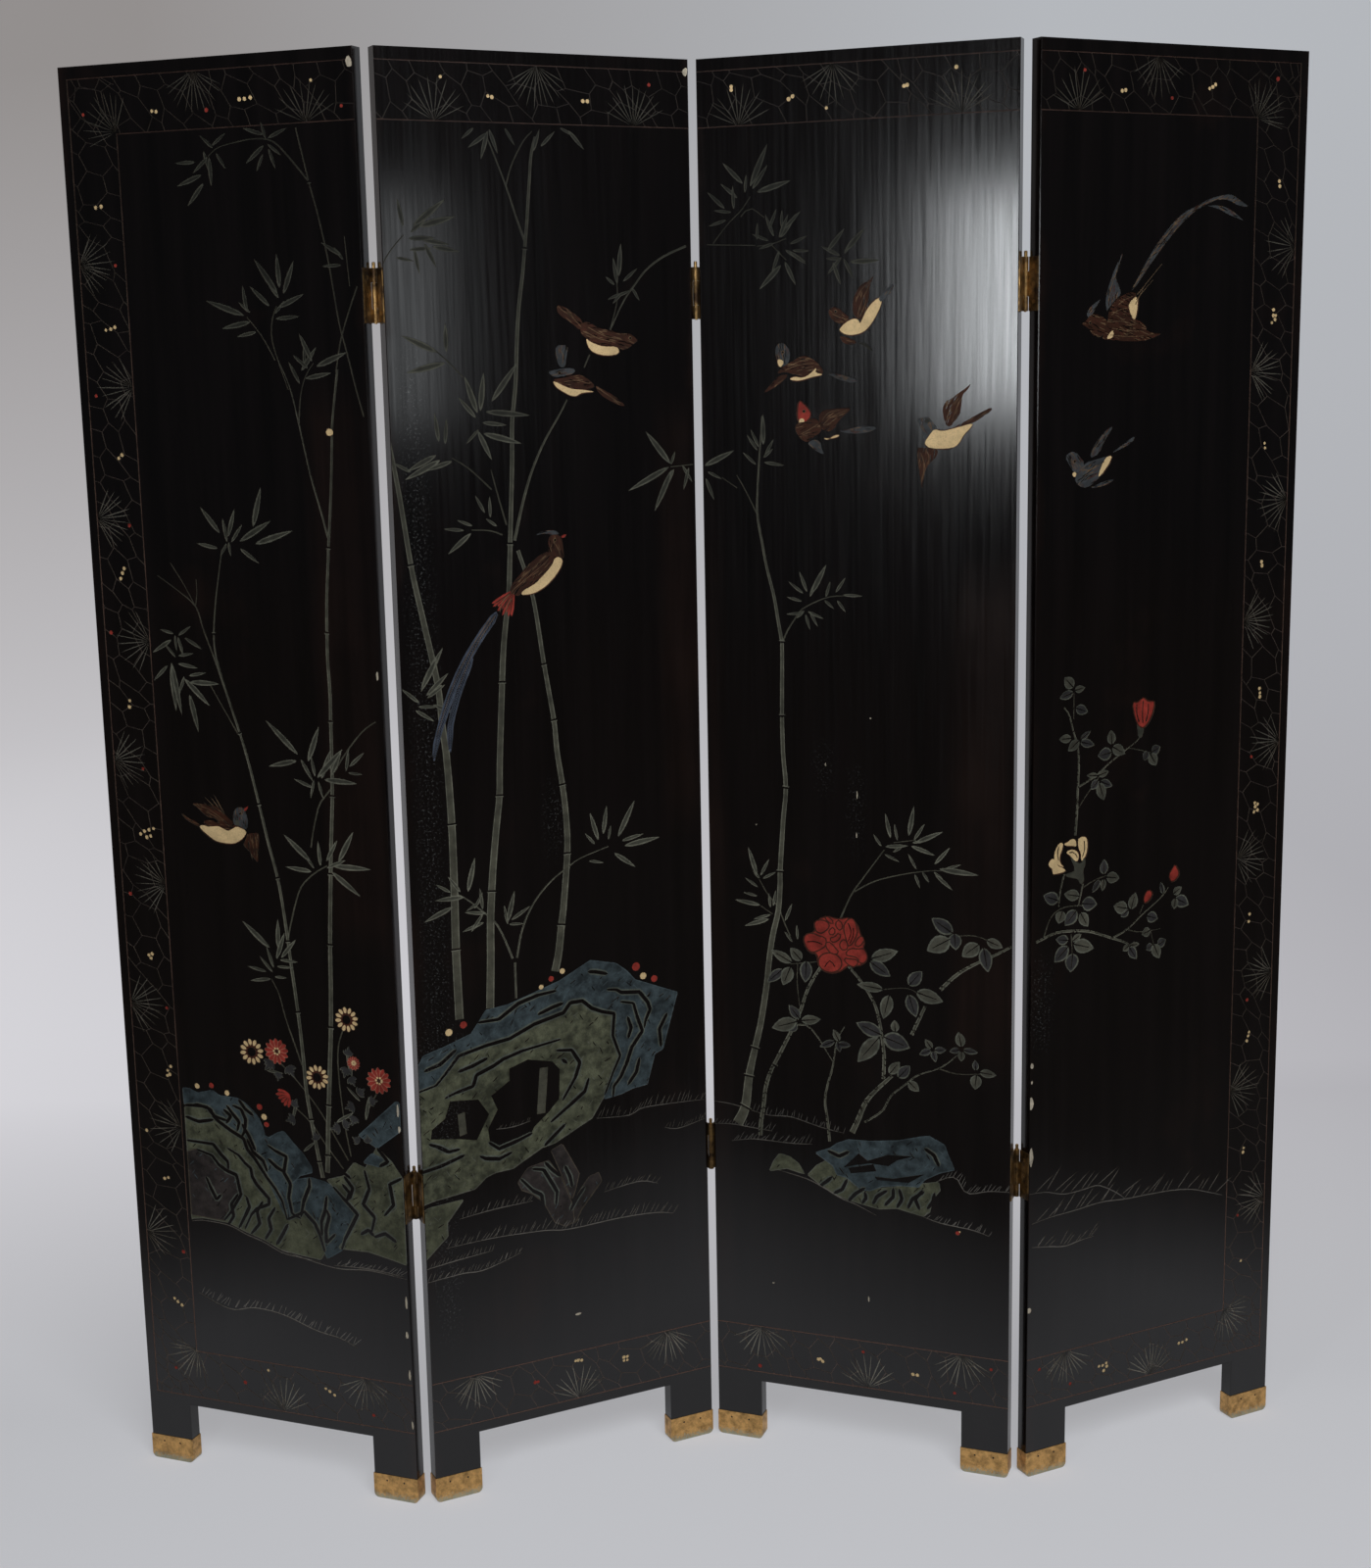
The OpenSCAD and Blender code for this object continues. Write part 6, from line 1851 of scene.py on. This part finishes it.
def outward(point, inner, outer):
    """The place on the outer outline that goes with a point on the inner one."""
    best = None
    count = len(inner)
    for i in range(count):
        start, end = Vector(inner[i]), Vector(inner[(i + 1) % count])
        run = end - start
        share = min(1.0, max(0.0, (point - start).dot(run) / max(run.dot(run), 1e-9)))
        gap = (start + run * share - point).length
        if best is None or gap < best[0]:
            best = (gap, Vector(outer[i]).lerp(Vector(outer[(i + 1) % count]), share))
    return best[1]


def close_edge(relief, corners, loop, outlines):
    """Adds the worn edge round the slab and gives the back's corners in order."""
    bevel, coat = in_mm("worn_edge"), in_mm("coat")
    back = []
    first = here = next(iter(loop))
    before = next(level for after, level in loop.values() if after == first)
    wide = {i: outward(Vector(corners[i]), *outlines) for i in loop}
    while True:
        after, level = loop[here]
        edge = [relief.corner((i, "edge"), wide[i].x, bevel, wide[i].y) for i in (here, after)]
        rear = [relief.corner((i, "rear"), wide[i].x, coat, wide[i].y) for i in (here, after)]
        top = [relief.known[(i, level)] for i in (here, after)]
        relief.face([top[0], edge[0], edge[1], top[1]], "lacquer")
        relief.face([edge[0], rear[0], rear[1], edge[1]], "lacquer")
        if before != level:
            relief.face([relief.known[(here, before)], edge[0], top[0]], "rim")
        back.append(rear[0])
        before, here = level, after
        if here == first:
            return back


# ---- Studio ----


def place_camera(context):
    """The camera where the photograph was taken."""
    studio = context.scene.screen_studio
    data = bpy.data.cameras.new("camera")
    data.lens = studio.focal_length
    data.sensor_width = SENSOR_WIDTH
    data.sensor_fit = "HORIZONTAL"
    camera = bpy.data.objects.new("camera", data)
    camera.location = studio.camera_place
    camera.rotation_euler = studio.camera_turn
    context.scene.collection.objects.link(camera)
    context.scene.camera = camera
    context.scene.view_settings.view_transform = "Standard"


def paper_material(studio):
    """Backdrop paper with painted light and shade: paler where the camera sees it than where the lacquer
    mirrors it from far off, where a dark painted shade is shown; its colour also falls off from low down to
    high up as painted shading, most on the left.
    """
    paper, tree, shader = new_material("backdrop paper")
    x, y, z = parts(tree, object_place(tree))
    away = calc(tree, "ADD", y, times(tree, z, 2.0))
    # Painted shading: the paper darkens from low down to high up and far back, most on the left, as a
    # fall-off of light.
    rise = spread(tree, away, 2.0, 13.0)
    left = mixed(tree, rise, solid(studio.low_left_paper), solid(studio.top_left_paper))
    right = mixed(tree, rise, solid(studio.low_right_paper), solid(studio.top_right_paper))
    path = lay(tree, "ShaderNodeLightPath")
    # Painted shade: away from the lit patch round the screen, rays other than the camera's see the dark far
    # paper.
    lit = times(tree, spread(tree, y, -0.85, -0.25),
                spread(tree, calc(tree, "ABSOLUTE", x), 1.05, 1.5, 1.0, 0.1))
    lit = calc(tree, "MAXIMUM", lit, path.outputs["Is Camera Ray"])
    front = mixed(tree, lit, solid(studio.far_paper_shade), solid(studio.floor_paper))
    behind = mixed(tree, spread(tree, x, -2.0, 2.0), left, right)
    tone = mixed(tree, spread(tree, y, 0.1, 1.4), front, behind)
    connect(tree, shader, {"Base Color": tone, "Roughness": 0.9, "Specular IOR Level": 0.1})
    glow = lay(tree, "ShaderNodeEmission", {"Color": tone, "Strength": 1.0})
    seen = calc(tree, "MAXIMUM", path.outputs["Is Glossy Ray"], path.outputs["Is Transmission Ray"])
    seen = calc(tree, "MAXIMUM", path.outputs["Is Camera Ray"], seen)
    share = times(tree, seen, spread(tree, away, 0.2, 1.6, 0.52, 0.95))
    both = lay(tree, "ShaderNodeMixShader", {0: share, 1: shader, 2: glow})
    connect(tree, tree.nodes["Material Output"], {"Surface": both})
    return paper


def lay_backdrop(context):
    """A sheet of paper that lies on the floor and rises behind the screen."""
    profile = [(PAPER_FRONT, 0.0), *arc(PAPER_BEND, BEND_RADIUS, BEND_RADIUS, -90, 0, steps=18),
               (PAPER_BEND + BEND_RADIUS, PAPER_TOP)]
    corners = [(x, y, z) for y, z in profile for x in (-PAPER_HALF, PAPER_HALF)]
    faces = [(2 * i, 2 * i + 1, 2 * i + 3, 2 * i + 2) for i in range(len(profile) - 1)]
    mesh = bpy.data.meshes.new("backdrop")
    mesh.from_pydata(corners, [], faces)
    mesh.polygons.foreach_set("use_smooth", [True] * len(faces))
    mesh.materials.append(paper_material(context.scene.screen_studio))
    backdrop = bpy.data.objects.new("backdrop", mesh)
    context.scene.collection.objects.link(backdrop)


def hang_lamps(context):
    """A large lamp above the camera, one at the left that panel 3 mirrors, and a weak one at the right."""
    for name, (setting, size, place, aim) in LAMPS.items():
        data = bpy.data.lights.new(name, "AREA")
        data.shape = "RECTANGLE"
        data.size, data.size_y = size
        data.energy = getattr(context.scene.screen_studio, setting)
        data.color = LAMP_COLOUR
        lamp = bpy.data.objects.new(name, data)
        lamp.location = place
        lamp.rotation_euler = (Vector(aim) - Vector(place)).to_track_quat("-Z", "Y").to_euler()
        context.scene.collection.objects.link(lamp)


def light_room(context):
    """A faint light from all round, and a pale distance where the camera looks past the backdrop."""
    world = bpy.data.worlds.new("studio room")
    context.scene.world = world
    world.use_nodes = True
    tree = world.node_tree
    room = connect(tree, tree.nodes["Background"], {"Color": ROOM_COLOUR, "Strength": ROOM_STRENGTH})
    distance = lay(tree, "ShaderNodeBackground", {"Color": DISTANCE_COLOUR, "Strength": 1.0})
    seen = lay(tree, "ShaderNodeLightPath").outputs["Is Camera Ray"]
    both = lay(tree, "ShaderNodeMixShader", {0: seen, 1: room, 2: distance})
    connect(tree, tree.nodes["World Output"], {"Surface": both})


# ---- Operators ----


def assign(node, material):
    """Puts a material in every slot of a CAD node."""
    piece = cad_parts[node]
    if not piece.material_slots:
        piece.data.materials.append(material)
    for place in piece.material_slots:
        place.material = material


class SCREEN_OT_studio(bpy.types.Operator):
    """Set up the camera, the soft lamps and the pale backdrop"""

    bl_idname = "screen.studio"
    bl_label = "Set up the studio"

    def execute(self, context):
        for step in (place_camera, lay_backdrop, hang_lamps, light_room):
            step(context)
        return {"FINISHED"}


class SCREEN_OT_carve_fronts(bpy.types.Operator):
    """Draw the picture on each panel, carve it into the lacquer and colour it"""

    bl_idname = "screen.carve_fronts"
    bl_label = "Carve the fronts"

    def execute(self, context):
        trees = {"stroke": stroke_tree(), "ribbon": ribbon_tree(), "lattice": lattice_tree()}
        paints = paint_box()
        for number in PANELS:
            drawing = Drawing(number, trees)
            drawing.fill("lacquer", [front_outline(in_mm("worn_edge"))])
            for draw in (draw_border, draw_rocks, draw_ground, draw_bamboo, draw_roses, draw_chrysanthemums,
                         draw_creatures, draw_chips):
                draw(drawing)
            mesh = carve(drawing, {"lacquer": lacquer_material(number, carved=True), **paints})
            front = bpy.data.objects.new(mesh.name, mesh)
            context.scene.collection.objects.link(front)
            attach(front, "panel_%d" % number)
            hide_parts("panel_%d_front_lacquer" % number)
        for tree in trees.values():
            bpy.data.node_groups.remove(tree)
        return {"FINISHED"}


class SCREEN_OT_finish_wood(bpy.types.Operator):
    """Lacquer the backs and edges, and give the boards inside their grain"""

    bl_idname = "screen.finish_wood"
    bl_label = "Finish the backs, edges and core"

    def execute(self, context):
        for number in PANELS:
            black = lacquer_material(number, carved=False)
            for part in ("back_lacquer", "left_stile", "right_stile", "top_rail", "bottom_rail"):
                assign("panel_%d_%s" % (number, part), black)
            assign("panel_%d_core_planks" % number, pine_material(number))
        return {"FINISHED"}


class SCREEN_OT_finish_hinges(bpy.types.Operator):
    """Give the hinge leaves, their pins and their screws an old brass skin"""

    bl_idname = "screen.finish_hinges"
    bl_label = "Finish the hinges"

    def execute(self, context):
        leaf = brass_material("hinge brass", 0.6)
        pin = brass_material("pin brass", 0.25)
        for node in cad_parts:
            if node.startswith("hinge"):
                assign(node, pin if node.endswith("pins") else leaf)
            elif node.endswith("hinge_screws"):
                assign(node, pin)
        return {"FINISHED"}


class SCREEN_OT_finish_shoes(bpy.types.Operator):
    """Finish the brass shoes and the nails that hold them"""

    bl_idname = "screen.finish_shoes"
    bl_label = "Finish the shoes"

    def execute(self, context):
        shoe, iron = shoe_material(), iron_material()
        for number in PANELS:
            assign("panel_%d_left_shoe" % number, shoe)
            assign("panel_%d_right_shoe" % number, shoe)
            assign("panel_%d_shoe_nails" % number, iron)
        return {"FINISHED"}


STEPS = (SCREEN_OT_studio, SCREEN_OT_carve_fronts, SCREEN_OT_finish_wood, SCREEN_OT_finish_hinges,
         SCREEN_OT_finish_shoes)
SETTINGS = {"screen_sizes": ScreenSizes, "screen_colours": ScreenColours, "screen_studio": StudioSettings}


class SCREEN_PT_workshop(bpy.types.Panel):
    """The steps and settings of the screen"""

    bl_idname = "SCREEN_PT_workshop"
    bl_label = "Lacquer screen"
    bl_space_type = "VIEW_3D"
    bl_region_type = "UI"
    bl_category = "Screen"

    def draw(self, context):
        for step in STEPS:
            self.layout.operator(step.bl_idname)
        for name, settings in SETTINGS.items():
            box = self.layout.box()
            for setting in settings.__annotations__:
                box.prop(getattr(context.scene, name), setting)


CLASSES = (*SETTINGS.values(), *STEPS, SCREEN_PT_workshop)


def register():
    """Makes the settings, steps and panel known."""
    for made in CLASSES:
        bpy.utils.register_class(made)
    for name, settings in SETTINGS.items():
        setattr(bpy.types.Scene, name, PointerProperty(type=settings))


def unregister():
    """Takes them away again."""
    for name in SETTINGS:
        delattr(bpy.types.Scene, name)
    for made in reversed(CLASSES):
        bpy.utils.unregister_class(made)


def main():
    """Makes the whole scene round the loaded frame."""
    register()
    bpy.ops.screen.studio()
    bpy.ops.screen.carve_fronts()
    bpy.ops.screen.finish_wood()
    bpy.ops.screen.finish_hinges()
    bpy.ops.screen.finish_shoes()


if __name__ == "__main__":
    main()
